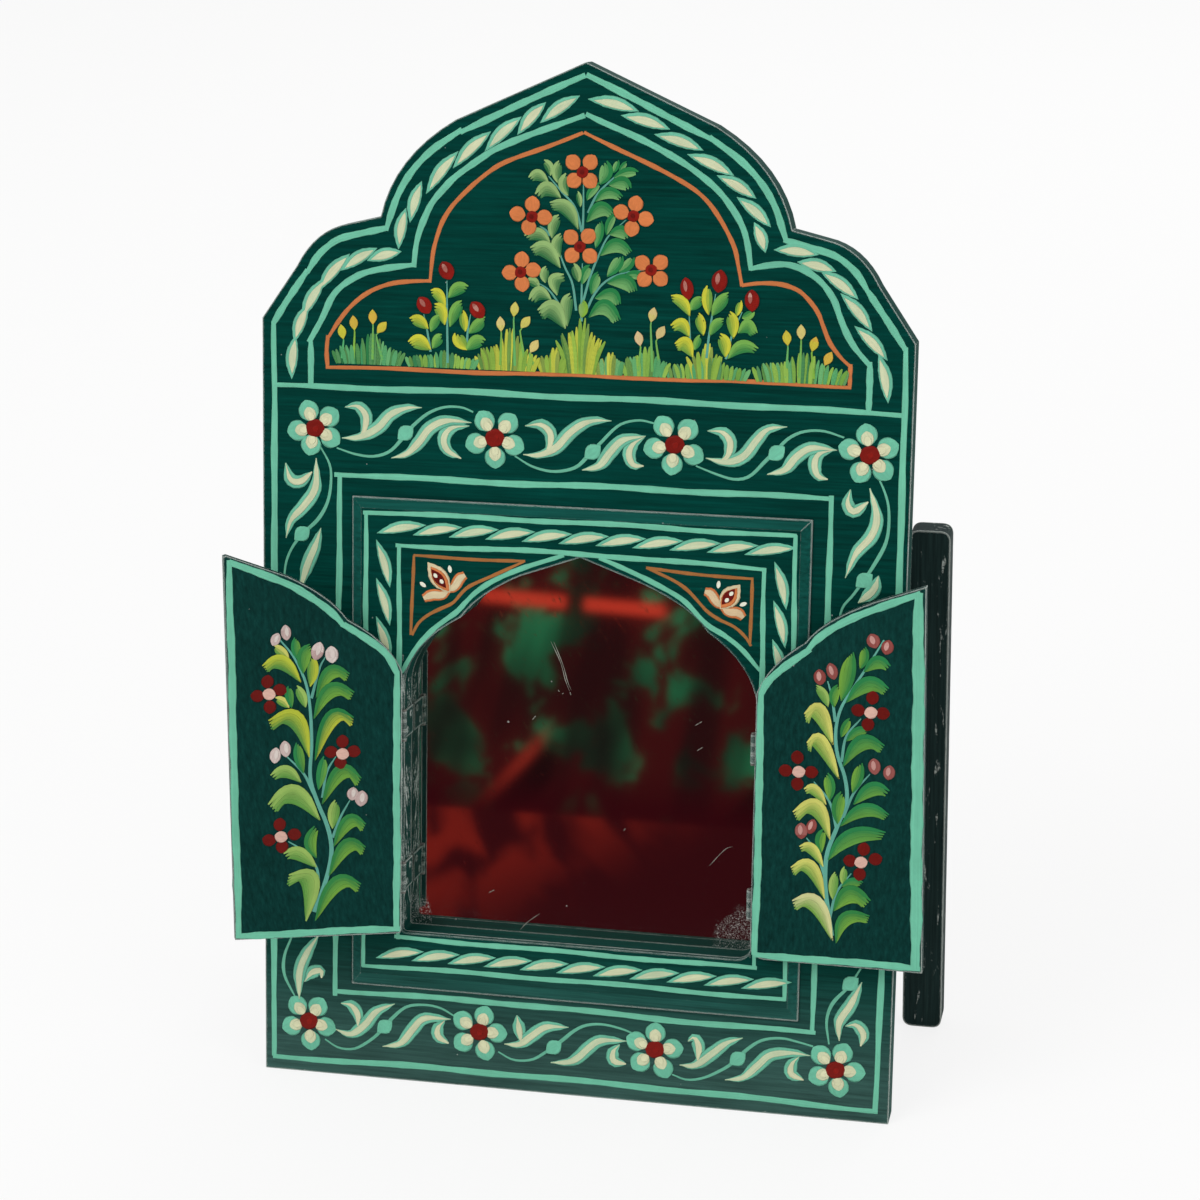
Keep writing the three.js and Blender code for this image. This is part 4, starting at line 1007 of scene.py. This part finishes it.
def tone(name):
    return tuple(getattr(paints(), name))


def blend(a, b, share):
    return tuple(Vector(a).lerp(Vector(b), share))


def shade(tint, by):
    return tuple(c * by for c in tint)


def paint_vine(work, flowers, leaves, hooks, tendrils, buds):
    """The scrolling vine: thin tendrils, double leaves with cream centres, and round-petalled flowers."""
    mint, cream, red = tone("mint"), tone("cream"), tone("crimson")
    for points in tendrils:
        work.stroke(points, 0.62, (shade(mint, 0.85), shade(mint, 0.8)), TENDRIL, 0)
    for points in hooks:
        work.stroke(points, 2.7, (mint, shade(mint, 0.86)), VINE, 0)
    for points in leaves:
        work.stroke(points, 2.85, (mint, shade(mint, 0.84)), VINE, 1)
    for points in hooks:
        work.stroke(points, 1.25, (blend(cream, mint, 0.2), cream), (0.06, 0.25, 0.7, 1.0, 1.0, 0.7, 0.2), 2)
    for points in leaves:
        work.stroke(points, 1.4, (cream, blend(cream, mint, 0.35)), (0.1, 0.7, 1.0, 0.95, 0.9, 0.45, 0.06), 2)
    for x, y in buds:
        work.dab(x, y, 4.0, 3.1, (mint, shade(mint, 0.95)), 40, 1, ALMOND)
        work.dab(x, y, 3.0, 2.9, (mint, mint), 130, 1)
    for (cx, cy), petals in flowers:
        for i, (x, y) in enumerate(petals):
            turn = math.degrees(math.atan2(y - cy, x - cx))
            work.dab(x, y, 4.3, 4.15, (mint, shade(mint, 0.9)), turn, 1)
            pull = 0.2 + 0.05 * (i % 3)
            work.dab(x + (cx - x) * pull, y + (cy - y) * pull, 2.9, 2.5, (blend(cream, mint, 0.12), cream), turn, 2)
            pull += 0.12
            work.dab(x + (cx - x) * pull, y + (cy - y) * pull, 1.9, 1.5, (shade(cream, 1.12), cream), turn, 3)
        work.dab(cx, cy, 3.7, 3.5, (red, shade(red, 0.7)), 20, 3, (0.35, 0.8, 0.97, 1.0, 0.97, 0.8, 0.35))
        work.dab(cx + 0.3, cy - 0.2, 1.4, 1.2, (shade(red, 0.45), red), 60, 4)


def middle_vine():
    """The vine down each side behind the open shutters, in the same steps as along the top and the foot."""
    flowers, leaves, hooks, tendrils, buds = [], [], [], [], []
    sides = ((-1, -107.6), (1, 109))
    for sign, x0 in sides:
        def down(top, *points):
            return tuple((x0 + dx * sign, top - dz) for dx, dz in points)

        turns = [math.radians(a) for a in (100, 28, -44, -116, 172)]
        for z in (182.6, 102.4):
            flowers.append(((x0, z), tuple((x0 + 7.2 * math.cos(a), z + 7 * math.sin(a)) for a in turns)))
        leaves.append(down(175, (2, 4), (-1, 14), (-8, 22), (-8.6, 30)))
        leaves.append(down(175, (6, 28), (4, 38), (-2, 46), (-4, 55)))
        hooks.append(down(175, (8, 6), (7.4, 12), (2, 13), (0, 9)))
        hooks.append(down(175, (-9, 46), (-8, 52), (-4, 54)))
        tendrils.append(down(175, (-4, 1), (-9, 12), (-4, 24), (2, 34), (9, 44), (6, 58)))
        buds.extend(down(175, (1, 32)))
        leaves.append(down(95, (3, 3), (2, 12), (-5, 20), (-7, 27)))
        tendrils.append(down(95, (-4, 1), (-8, 10), (-2, 22), (5, 30)))
    for sign, x0 in sides:
        leaves.append(((x0 - 3 * sign, 171), (x0 + 3 * sign, 160), (x0 + 8 * sign, 152)))
    return flowers, leaves, hooks, tendrils, buds


def paint_leaf(work, start, bend, end, half_width, upper, lower, coat=1):
    """A loaded-brush leaf: hairs fanned from the stem over the bend, from light to dark."""
    start, bend, end = Vector(start), Vector(bend), Vector(end)
    across = end - start
    side = Vector((-across.y, across.x)).normalized()
    bulge = side.dot(bend - (start + end) / 2)
    if bulge < 0 or (abs(bulge) < 0.3 and side.y < 0):
        side = -side
    back = (start - end).normalized()
    hairs = 3 if half_width < 1.5 else 5 if half_width < 2.4 else 7
    for k in reversed(range(hairs)):
        t = k / (hairs - 1)
        out = 1 - 2 * t
        top = bend + side * half_width * out * 0.82
        tip = end + side * half_width * (0.3 * out - 0.05) + back * half_width * (0.95 * t + (0.42 if k % 2 else 0))
        pull = top * 2 - (start + tip) / 2
        curve = [start * (1 - s) ** 2 + pull * 2 * s * (1 - s) + tip * s * s for s in (0, 0.25, 0.5, 0.75, 1)]
        tint = blend(upper, lower, t ** 0.8)
        tones = (blend(tint, upper, 0.15), shade(tint, 0.9))
        work.stroke(curve, half_width * (1.5 / hairs + 0.07), tones, HAIR, coat + (hairs - k) * 0.16, 14)


def paint_spray(work, drawing, bud_tones):
    """The flowering stem on a shutter."""
    stem = tone("stem")
    for k, points in enumerate(drawing["stems"]):
        work.stroke(points, 0.95 if k == 0 else 0.62, (stem, shade(stem, 0.85), shade(stem, 0.9)), STEM, 1)
    for x0, y0, x1, y1, x2, y2, half_width, upper, lower in drawing["leaves"]:
        paint_leaf(work, (x0, y0), (x1, y1), (x2, y2), half_width, *LEAF_TONES[upper, lower]())
    wine, blush = tone("wine"), tone("blush")
    for (cx, cy), petals in drawing["flowers"]:
        for x, y in petals:
            turn = math.degrees(math.atan2(y - cy, x - cx))
            work.dab(x, y, 2.7, 2.45, (wine, shade(wine, 0.8)), turn * work.flip + (180 if work.flip < 0 else 0), 2)
        work.dab(cx, cy, 2.6, 2.35, (blush, shade(blush, 0.92)), 15, 3)
    light, dark = bud_tones
    for x, y, turn, half_length, half_width in drawing["buds"]:
        turn = turn if work.flip > 0 else 180 - turn
        work.dab(x, y, half_length, half_width, (dark, blend(dark, light, work.bloom)), turn, 2)
        work.dab(x - 0.35, y + 0.35, half_length * 0.6, half_width * 0.4, (light, blend(light, dark, 0.3)), turn, 3)


def paint_tuft(work, x0, x1, middle, sides, first, second, count):
    """Upright blades fanned from the ground line, each light on one side and dark on the other."""
    centre, light, dark = (x0 + x1) / 2, tone(first), tone(second)
    deep = blend(tone("leaf"), tone("ground"), 0.45)
    for i in range(count):
        x = x0 + (x1 - x0) * ((i * 0.618 + 0.31) % 1)
        lean = (x - centre) / max(x1 - x0, 1) * 2
        rise = sides + (middle - sides) * (1 - abs(lean) ** 1.2) * (0.55 + 0.45 * math.sin(i * 2.4) ** 2)
        spread = lean * rise * 0.3 + math.sin(i * 4.1) * 0.6
        tint = blend(light, dark, 0.1 if math.sin(i * 1.7) > 0 else 0.9)
        if i % 4 == 3:
            tint = blend(tint, deep, 0.6)
        blade = (
            (x - lean * 0.5, GRASS_FOOT),
            (x + spread * 0.3, GRASS_FOOT + rise * 0.55),
            (x + spread, GRASS_FOOT + rise),
        )
        tones = (blend(tint, (1, 1, 0.3), 0.1), blend(tint, deep, 0.4))
        work.stroke(blade, 0.72 + 0.3 * math.sin(i * 3.3) ** 2, tones, BLADE, 1 + (i % 5) * 0.3, 9)


# Body, core, white dots, wings, and ticks with their turn, for the bud in each corner above the glass.
CORNER_BUDS = (
    (((-59.4, 213.2), (-50.4, 201.8)), ((-57.9, 210.6), (-52, 203.6)), ((-56.2, 208.2), (-53.7, 206)),
     (((-51.4, 202.6), (-48.6, 204.2), (-46.6, 207.4), (-44.4, 209)),
      ((-51.2, 202.4), (-53.6, 200.6), (-57.4, 200.4), (-61, 198.8))),
     ((-50.5, 211, 100), (-61.3, 204.3, 145))),
    (((63.6, 211.4), (56.2, 201.6)), ((61.7, 209.7), (56.8, 203.4)), ((60.4, 207.8), (58.7, 205.2)),
     (((57, 202.4), (54.6, 204.2), (52.4, 207.2), (50, 208)),
      ((57, 202.2), (59.6, 200.6), (63, 200.4), (65.2, 198.6))),
     ((55.3, 211, 84), (65, 203.9, 25))),
)
SCRATCHES = (
    ((-13, 182), (-9, 174), (-7, 167), (-5.2, 162.6)), ((-11.8, 182), (-8, 173), (-5.9, 166), (-4.4, 163)),
    ((-24, 63.6), (-21, 67), (-16, 71)), ((52, 96), (58, 103), (61, 104.4)), ((-9.8, 162.8), (-9.2, 162)),
    ((-8.2, 161.2), (-7.6, 161.6)), ((-5, 162.2), (-4.6, 161)), ((45, 152), (48, 154)), ((46, 142), (48.4, 143.6)),
    ((-37, 78), (-34.6, 79.4)), ((-20, 150), (-18.6, 151.8)), ((17.4, 107.6), (18.2, 108.6)),
)


# ---- Stage: metres, degrees and watts -----------------------------------------------------------------------

# Glowing sheets that stand for cloth in the room; they give their own light, and their folds carry painted shade and
# painted highlights.
GLOWING_ROOM_CLOTHS = (
    ("room_curtain", (1.2, 1.1), (-0.42, -1.06, 0.55), 90),
    ("room_rug", (1.7, 0.68), (-0.4, -0.72, 0.002), 0),
)
LAMPS = (
    ("soft_key", (-1.3, -1.5, 2.1), 26),
    ("soft_fill", (1.9, -1.2, 1.2), 9),
    ("soft_back", (0.4, 2.0, 1.6), 10),
)
LAMP_SIZE, LAMP_AIM = 1.6, (0, 0, 0.2)
ROOM_LIGHT = 0.62
EYE_PLACE, EYE_TURN = (0.26129, -1.08482, 0.64048), (68.863, 1.2164, 12.2995)


# ---- Operators ----------------------------------------------------------------------------------------------

METAL_ARRIS, SHEET_ARRIS, SAME_POINT = 0.00008, 0.0002, 0.00001


class SHUTTERMIRROR_OT_finishes(bpy.types.Operator):
    """Mixes every finish and gives each CAD piece its own, with softened arrises"""
    bl_idname = "shutter_mirror.finishes"
    bl_label = "Mix finishes"

    def execute(self, context):
        mix_finishes()
        for name, piece in NODES.items():
            finish = finish_for(name)
            piece.data.materials.clear()
            piece.data.materials.append(finish_named(finish))
            weld = piece.modifiers.new("join facets", "WELD")
            weld.merge_threshold = SAME_POINT
            edge = piece.modifiers.new("soften arrises", "BEVEL")
            metal, sheet = finish in ("bare_iron", "iron_enamel"), name in ("mirror_glass", "backing_panel")
            edge.width = METAL_ARRIS if metal else SHEET_ARRIS if sheet else sizes().arris
            edge.segments = 1 if metal else 3
            edge.limit_method, edge.angle_limit = "ANGLE", math.radians(38)
            edge.use_clamp_overlap = True
        return {"FINISHED"}


class SHUTTERMIRROR_OT_lines(bpy.types.Operator):
    """Paints the mint and orange lines on the board and the raised frame"""
    bl_idname = "shutter_mirror.lines"
    bl_label = "Paint border lines"

    def execute(self, context):
        mint, orange = tone("mint"), tone("orange")
        work = Brushwork("board_lines", "panel", board_face(), "painted_wood")
        for points in BORDER:
            work.stroke(points, 1.32, (mint, shade(mint, 0.95)))
        for points in (BAND, *INNER_ARCH, *PANEL_RECT):
            work.stroke(points, 1.25, (mint, shade(mint, 0.95)))
        for points in (*ORANGE_ARCH, GARDEN_GROUND):
            work.stroke(points, 0.85, (orange, shade(orange, 0.9)))
        work.finish()
        work = Brushwork("frame_lines", "panel", board_face(FRAME_FACE), "painted_moulding")
        for points in (*FRAME_RECT, *ARCH_RECT):
            work.stroke(points, 1.05, (mint, shade(mint, 0.95)))
        for points in ARCH_LINE:
            work.stroke(points, 1.0, (mint, shade(mint, 0.95)))
        for points in CORNER_LINES:
            work.stroke(points, 0.66, (tone("ochre"), blend(tone("ochre"), tone("ground"), 0.2)))
        work.finish()
        return {"FINISHED"}


class SHUTTERMIRROR_OT_ropes(bpy.types.Operator):
    """Paints the twisted rope strokes round the arch and the raised frame"""
    bl_idname = "shutter_mirror.ropes"
    bl_label = "Paint ropes"

    def execute(self, context):
        mint, cream = tone("mint"), tone("cream")
        ropes = (
            ("arch_rope", board_face(), "painted_wood", ROPE_LEFT + ROPE_RIGHT, 2.55),
            ("frame_rope", board_face(FRAME_FACE), "painted_moulding", frame_ropes(), 2.3),
        )
        for name, face, slot, strokes, wide in ropes:
            work = Brushwork(name, "panel", face, slot)
            for a, b in strokes:
                dx, dy = b[0] - a[0], b[1] - a[1]
                bend = (a[0] + dx * 0.5 - dy * 0.045, a[1] + dy * 0.5 + dx * 0.045)
                work.stroke((a, bend, b), wide, (mint, shade(mint, 0.9)), ALMOND, 0, 14)
                near, far = (a[0] + dx * 0.12, a[1] + dy * 0.12), (a[0] + dx * 0.9, a[1] + dy * 0.9)
                middle = (bend[0] + dy * 0.02, bend[1] - dx * 0.02)
                tones = (blend(cream, mint, 0.35), blend(cream, mint, 0.05))
                work.stroke((near, middle, far), wide * 0.62, tones, ALMOND, 1, 12)
            work.finish()
        return {"FINISHED"}


class SHUTTERMIRROR_OT_vine(bpy.types.Operator):
    """Paints the scrolling vine with its flowers round the board"""
    bl_idname = "shutter_mirror.vine"
    bl_label = "Paint vine"

    def execute(self, context):
        work = Brushwork("board_vine", "panel", board_face(), "painted_wood")
        seen = (TOP_FLOWERS + FOOT_FLOWERS, LONG_LEAVES, HOOKS, TENDRILS, VINE_BUDS)
        paint_vine(work, *(drawn + hidden for drawn, hidden in zip(seen, middle_vine())))
        work.finish()
        return {"FINISHED"}


class SHUTTERMIRROR_OT_garden(bpy.types.Operator):
    """Paints the bouquet, the two side plants, the tufts and the grass under the arch"""
    bl_idname = "shutter_mirror.garden"
    bl_label = "Paint garden"

    def execute(self, context):
        work = Brushwork("arch_bouquet", "panel", board_face(), "painted_wood")
        stem, coral, red = tone("stem"), tone("coral"), tone("crimson")
        for points in BOUQUET_STEMS:
            work.stroke(points, 0.5, (stem, shade(stem, 0.8)), STEM, 1)
        sage, jade, leaf, ground = tone("sage"), tone("jade"), tone("leaf"), tone("ground")
        pale = (blend(sage, tone("cream"), 0.1), blend(leaf, ground, 0.4))
        cool = (blend(leaf, jade, 0.05), blend(sage, jade, 0.3))
        for leaves, tones in ((BOUQUET_LEFT, pale), (BOUQUET_RIGHT, cool)):
            for x0, y0, x1, y1, x2, y2, half_width in leaves:
                paint_leaf(work, (x0, y0), (x1, y1), (x2, y2), half_width, *tones)
        paint_leaf(work, (-0.3, 310.4), (0.4, 313.6), (-0.1, 317.2), 1.5, tone("lime"), sage)
        for (cx, cy), petals in BOUQUET_FLOWERS:
            for x, y in petals:
                turn = math.degrees(math.atan2(y - cy, x - cx))
                work.dab(x, y, 3.15, 2.95, (coral, shade(coral, 0.92)), turn, 3)
            work.dab(cx, cy, 2.4, 2.2, (red, shade(red, 0.75)), 30, 4)
            work.dab(cx - 0.2, cy + 0.1, 1.0, 0.9, (shade(red, 0.4), shade(red, 0.6)), 120, 5)
        work.finish()
        work = Brushwork("arch_garden", "panel", board_face(), "painted_wood")
        for tuft in TUFTS:
            paint_tuft(work, *tuft)
        straw, lime, wine, blush = tone("straw"), tone("lime"), tone("wine"), tone("blush")
        for plant in PLANTS:
            for points in plant["stems"]:
                work.stroke(points, 0.5, (stem, shade(stem, 0.8)), STEM, 2)
            for x0, y0, x1, y1, x2, y2, half_width, yellow in plant["leaves"]:
                tones = (straw, blend(lime, leaf, 0.6)) if yellow else (blend(lime, jade, 0.3), leaf)
                paint_leaf(work, (x0, y0), (x1, y1), (x2, y2), half_width, *tones, 2)
            for x, y, turn, half_length, half_width in plant["buds"]:
                shine = (blend(blush, red, 0.3), red)
                work.dab(x, y, half_length, half_width, (shade(red, 1.3), wine), turn, 4)
                work.dab(x - 0.7, y + 0.9, half_length * 0.5, half_width * 0.3, shine, turn, 5)
        tips = (blend(straw, coral, 0.5), blend(straw, blush, 0.6), blush)
        for x, y, turn, kind in TUFT_BUDS:
            work.dab(x, y, 2.9, 1.75, (shade(straw, 0.9), tips[kind]), turn, 3, ALMOND)
            root = (x + (0.3 if turn < 90 else -0.1), GRASS_FOOT + 2)
            lean = math.cos(math.radians(turn))
            stalk = (root, (x - lean * 3.4, y - 3.4), (x - lean * 1.8, y - 2))
            work.stroke(stalk, 0.55, (lime, jade), STEM, 2, 8)
        work.finish()
        return {"FINISHED"}


class SHUTTERMIRROR_OT_corners(bpy.types.Operator):
    """Paints the small opened bud in each corner above the glass"""
    bl_idname = "shutter_mirror.corners"
    bl_label = "Paint corner buds"

    def execute(self, context):
        work = Brushwork("corner_buds", "panel", board_face(FRAME_FACE), "painted_moulding")
        cream, coral = blend(tone("cream"), tone("coral"), 0.22), blend(tone("orange"), tone("coral"), 0.6)
        dark, white = shade(tone("wine"), 0.9), blend(tone("cream"), (1, 1, 1), 0.4)
        for body, core, dots, wings, ticks in CORNER_BUDS:
            for points in wings:
                work.stroke(points, 2.3, (coral, shade(coral, 0.9)), (0.55, 0.85, 1.0, 1.0, 0.7), 0, 12)
                work.stroke(points, 1.5, (cream, blend(cream, coral, 0.25)), (0.3, 0.9, 1.0, 0.95, 0.5), 1, 12)
            work.stroke(body, 3.8, (cream, blend(cream, coral, 0.2)), ALMOND, 2, 14)
            tip, foot = Vector(body[0]), Vector(body[1])
            work.stroke((tip.lerp(foot, 0.14), tip.lerp(foot, 0.96)), 2.7, (coral, shade(coral, 0.95)), ALMOND, 3, 14)
            work.stroke(core, 1.9, (dark, shade(dark, 0.8)), ALMOND, 4, 12)
            for x, y in dots:
                work.dab(x, y, 1.0, 0.75, (white, white), 130 if x < 0 else 50, 5)
            for x, y, turn in ticks:
                work.dab(x, y, 1.5, 0.8, (white, white), turn, 1)
        work.finish()
        return {"FINISHED"}


class SHUTTERMIRROR_OT_shutters(bpy.types.Operator):
    """Paints the border and the flowering spray on both faces of each shutter"""
    bl_idname = "shutter_mirror.shutters"
    bl_label = "Paint shutters"

    def execute(self, context):
        mint = tone("mint")
        buds = {"left": (ink(224, 214, 206), ink(170, 130, 128)), "right": (ink(206, 156, 148), ink(128, 44, 38))}
        for side in ("left", "right"):
            for inner in (True, False):
                face, flip = shutter_face(side, inner)
                name = f"shutter_{side}_{'inner' if inner else 'outer'}_paint"
                work = Brushwork(name, f"shutter_{side}", face, "painted_wood", flip)
                for k, points in enumerate(SHUTTER_BORDER[side]):
                    wide = 2.3 if (side == "right" and k == 3) else 1.45
                    work.stroke(points, wide if inner else min(wide, 1.5), (mint, shade(mint, 0.95)))
                paint_spray(work, SPRAYS[side], buds[side])
                work.finish()
        return {"FINISHED"}


class SHUTTERMIRROR_OT_scratches(bpy.types.Operator):
    """Scratches the front of the glass"""
    bl_idname = "shutter_mirror.scratches"
    bl_label = "Scratch glass"

    def execute(self, context):
        work = Brushwork("glass_scratches", "panel", board_face(GLASS_FACE), "silvered_glass")
        pale = ink(150, 150, 140)
        for points in SCRATCHES:
            work.stroke(points, 0.17, (pale, shade(pale, 0.8)), (0.3, 1.0, 0.6, 1.0, 0.2), 0, 10)
        work.finish()
        return {"FINISHED"}


class SHUTTERMIRROR_OT_stage(bpy.types.Operator):
    """Sets the pale floor, the soft light, the camera and what the glass has to reflect"""
    bl_idname = "shutter_mirror.stage"
    bl_label = "Set stage"

    def execute(self, context):
        scene = context.scene
        scene.view_settings.view_transform = "Standard"
        bpy.ops.object.select_all(action="DESELECT")
        bpy.ops.mesh.primitive_plane_add(size=12, location=(0, 0, 0))
        floor = context.object
        floor.name = "pale_floor"
        f = Finish("pale_floor")
        paper = f.grain(f.place((0.02, 0.02, 0.02)), detail=3.0)
        f.set(colour=f.brighter(ink(246, 246, 245), 0.985 + paper * 0.02), roughness=0.9, specular=0.2)
        seen = f.add("ShaderNodeLightPath") * 0.82
        white = f.add("ShaderNodeEmission", None, {"Strength": 1.0})
        floor.data.materials.append(f.end(f.add("ShaderNodeMixShader", None, {
            0: seen, 1: Wire(f, f.shader.outputs[0]), 2: white})))

        for name, size, place, tilt in GLOWING_ROOM_CLOTHS:
            bpy.ops.object.select_all(action="DESELECT")
            bpy.ops.mesh.primitive_plane_add(size=1)
            cloth = context.object
            cloth.name = name
            turn = Matrix.Rotation(math.radians(tilt), 4, "X")
            cloth.data.transform(Matrix.Translation(place) @ turn @ Matrix.Diagonal((*size, 1, 1)))
            cloth.data.materials.append(glowing_room_cloth(name))
            for ray in ("camera", "diffuse", "transmission", "shadow", "volume_scatter"):
                setattr(cloth, f"visible_{ray}", False)

        light_room(scene)
        for name, place, power in LAMPS:
            lamp = bpy.data.lights.new(name, "AREA")
            lamp.energy, lamp.size = power, LAMP_SIZE
            holder = bpy.data.objects.new(name, lamp)
            holder.location = place
            holder.rotation_mode = "QUATERNION"
            holder.rotation_quaternion = (Vector(LAMP_AIM) - Vector(place)).to_track_quat("-Z", "Y")
            scene.collection.objects.link(holder)

        eye = bpy.data.objects.new("front_camera", bpy.data.cameras.new("front_camera"))
        scene.collection.objects.link(eye)
        eye.data.lens, eye.data.sensor_width, eye.data.sensor_fit = sizes().lens, 36, "HORIZONTAL"
        eye.data.clip_start, eye.data.clip_end = 0.05, 30
        eye.location = EYE_PLACE
        eye.rotation_euler = tuple(math.radians(a) for a in EYE_TURN)
        scene.camera = eye
        return {"FINISHED"}


def light_room(scene):
    """White all round for the camera, the mirror and the glass, and dimmer where it lights the object."""
    world = bpy.data.worlds.new("soft_white_room")
    scene.world = world
    world.use_nodes = True
    nodes, links = world.node_tree.nodes, world.node_tree.links
    path = nodes.new("ShaderNodeLightPath")
    seen = path.outputs["Is Camera Ray"]
    for ray in ("Is Glossy Ray", "Is Transmission Ray"):
        either = nodes.new("ShaderNodeMath")
        either.operation = "MAXIMUM"
        links.new(seen, either.inputs[0])
        links.new(path.outputs[ray], either.inputs[1])
        seen = either.outputs[0]
    level = nodes.new("ShaderNodeMath")
    level.operation = "MULTIPLY_ADD"
    links.new(seen, level.inputs[0])
    level.inputs[1].default_value, level.inputs[2].default_value = 1 - ROOM_LIGHT, ROOM_LIGHT
    links.new(level.outputs[0], nodes["Background"].inputs["Strength"])
    nodes["Background"].inputs["Color"].default_value = (1, 1, 1, 1)


def glowing_room_cloth(name):
    """Glowing sheets in place of dyed cloth in the room in front of the mirror, with painted shade and painted
    highlights along their folds; only the glass and the varnish see them.
    """
    f = Finish(name)
    across, high = f.axis(f.place(), 0), f.axis(f.place(), 2)
    seen = (across + 252.0) / 1.96
    if name == "room_rug":
        painted_fold_shading = f.grain(f.place((0.03, 0.0018, 1), (0, 0, math.radians(15))), detail=2.5, roughness=0.5, bend=0.5)
        # Painted light and shade on the rug: lighter red along its folds, darker red between them.
        return f.glow(f.mix(painted_fold_shading.above(0.5, 0.1) * seen.below(36.0, 40.0), ink(62, 16, 21), ink(132, 34, 28)))
    rise = high / 1.97 + 118.0
    blobs = f.grain(f.place((0.023, 1, 0.019), (0, math.radians(24), 0)), detail=3.0, roughness=0.6, bend=0.5)
    painted_fold_shading = f.grain(f.place((0.03, 1, 0.006), (0, math.radians(-10), 0)), detail=2.0, roughness=0.5)
    dim = f.grain(f.place((0.012, 1, 0.009), (0, 0, 0), (3, 0, 5)), detail=2.0)
    glen = f.mix(dim.above(0.5, 0.1), ink(30, 48, 36), ink(44, 122, 82))
    tint = f.mix(blobs.above(0.555, 0.045), ink(72, 20, 22), glen)
    # Painted shade in the curtain's folds.
    tint = f.mix(painted_fold_shading.above(0.53, 0.12) * 0.7, tint, ink(30, 18, 20))
    # A painted highlight runs along the left fold, with painted shade beside it and beside the right fold.
    left_fold = (rise - 136.0) - (seen + 12.0) * 1.15
    right_fold = (rise - 124.0) - (seen - 66.0) * 1.2
    tint = f.mix((left_fold - 4.0).size().below(3.6, 3.0) * seen.below(-6.0, 6.0), tint, ink(150, 44, 34))
    tint = f.mix((left_fold + 9.0).size().below(8.0, 4.0) * seen.below(0.0, 6.0), tint, ink(26, 14, 16))
    tint = f.mix((right_fold + 12.0).size().below(10.0, 4.0) * seen.above(36.0, 6.0), tint, ink(30, 14, 16))
    stripe = (rise - 199.5 + seen * 0.03).size().below(2.4, 1.8) * (seen - 3.0).size().below(36.0, 3.0)
    tint = f.mix(stripe * (seen - 4.0).size().above(3.5, 2.0), tint, ink(226, 66, 48))
    # The curtain is darker towards the bottom.
    return f.glow(f.mix(high.below(22.0, 26.0), tint, ink(58, 10, 18)))


OPERATORS = (
    SHUTTERMIRROR_OT_finishes, SHUTTERMIRROR_OT_lines, SHUTTERMIRROR_OT_ropes, SHUTTERMIRROR_OT_vine,
    SHUTTERMIRROR_OT_garden, SHUTTERMIRROR_OT_corners, SHUTTERMIRROR_OT_shutters, SHUTTERMIRROR_OT_scratches,
    SHUTTERMIRROR_OT_stage,
)


class SHUTTERMIRROR_PT_panel(bpy.types.Panel):
    """Lists the steps of the build and the tints"""
    bl_idname = "SHUTTERMIRROR_PT_panel"
    bl_label = "Shutter mirror"
    bl_space_type = "VIEW_3D"
    bl_region_type = "UI"
    bl_category = "Shutter mirror"

    def draw(self, context):
        for group in (context.scene.shutter_mirror_sizes, context.scene.shutter_mirror_paints):
            for key in group.__annotations__:
                self.layout.prop(group, key)
        for step in OPERATORS:
            self.layout.operator(step.bl_idname)


CLASSES = (ShutterMirrorPaints, ShutterMirrorSizes, *OPERATORS, SHUTTERMIRROR_PT_panel)


def register():
    for made in CLASSES:
        bpy.utils.register_class(made)
    bpy.types.Scene.shutter_mirror_paints = PointerProperty(type=ShutterMirrorPaints)
    bpy.types.Scene.shutter_mirror_sizes = PointerProperty(type=ShutterMirrorSizes)


def unregister():
    del bpy.types.Scene.shutter_mirror_sizes
    del bpy.types.Scene.shutter_mirror_paints
    for made in reversed(CLASSES):
        bpy.utils.unregister_class(made)


def main():
    register()
    steps = bpy.ops.shutter_mirror
    for step in (steps.finishes, steps.lines, steps.ropes, steps.vine, steps.garden,
                 steps.corners, steps.shutters, steps.scratches, steps.stage):
        if step() != {"FINISHED"}:
            raise RuntimeError("a step of the build stopped")


if __name__ == "__main__":
    main()
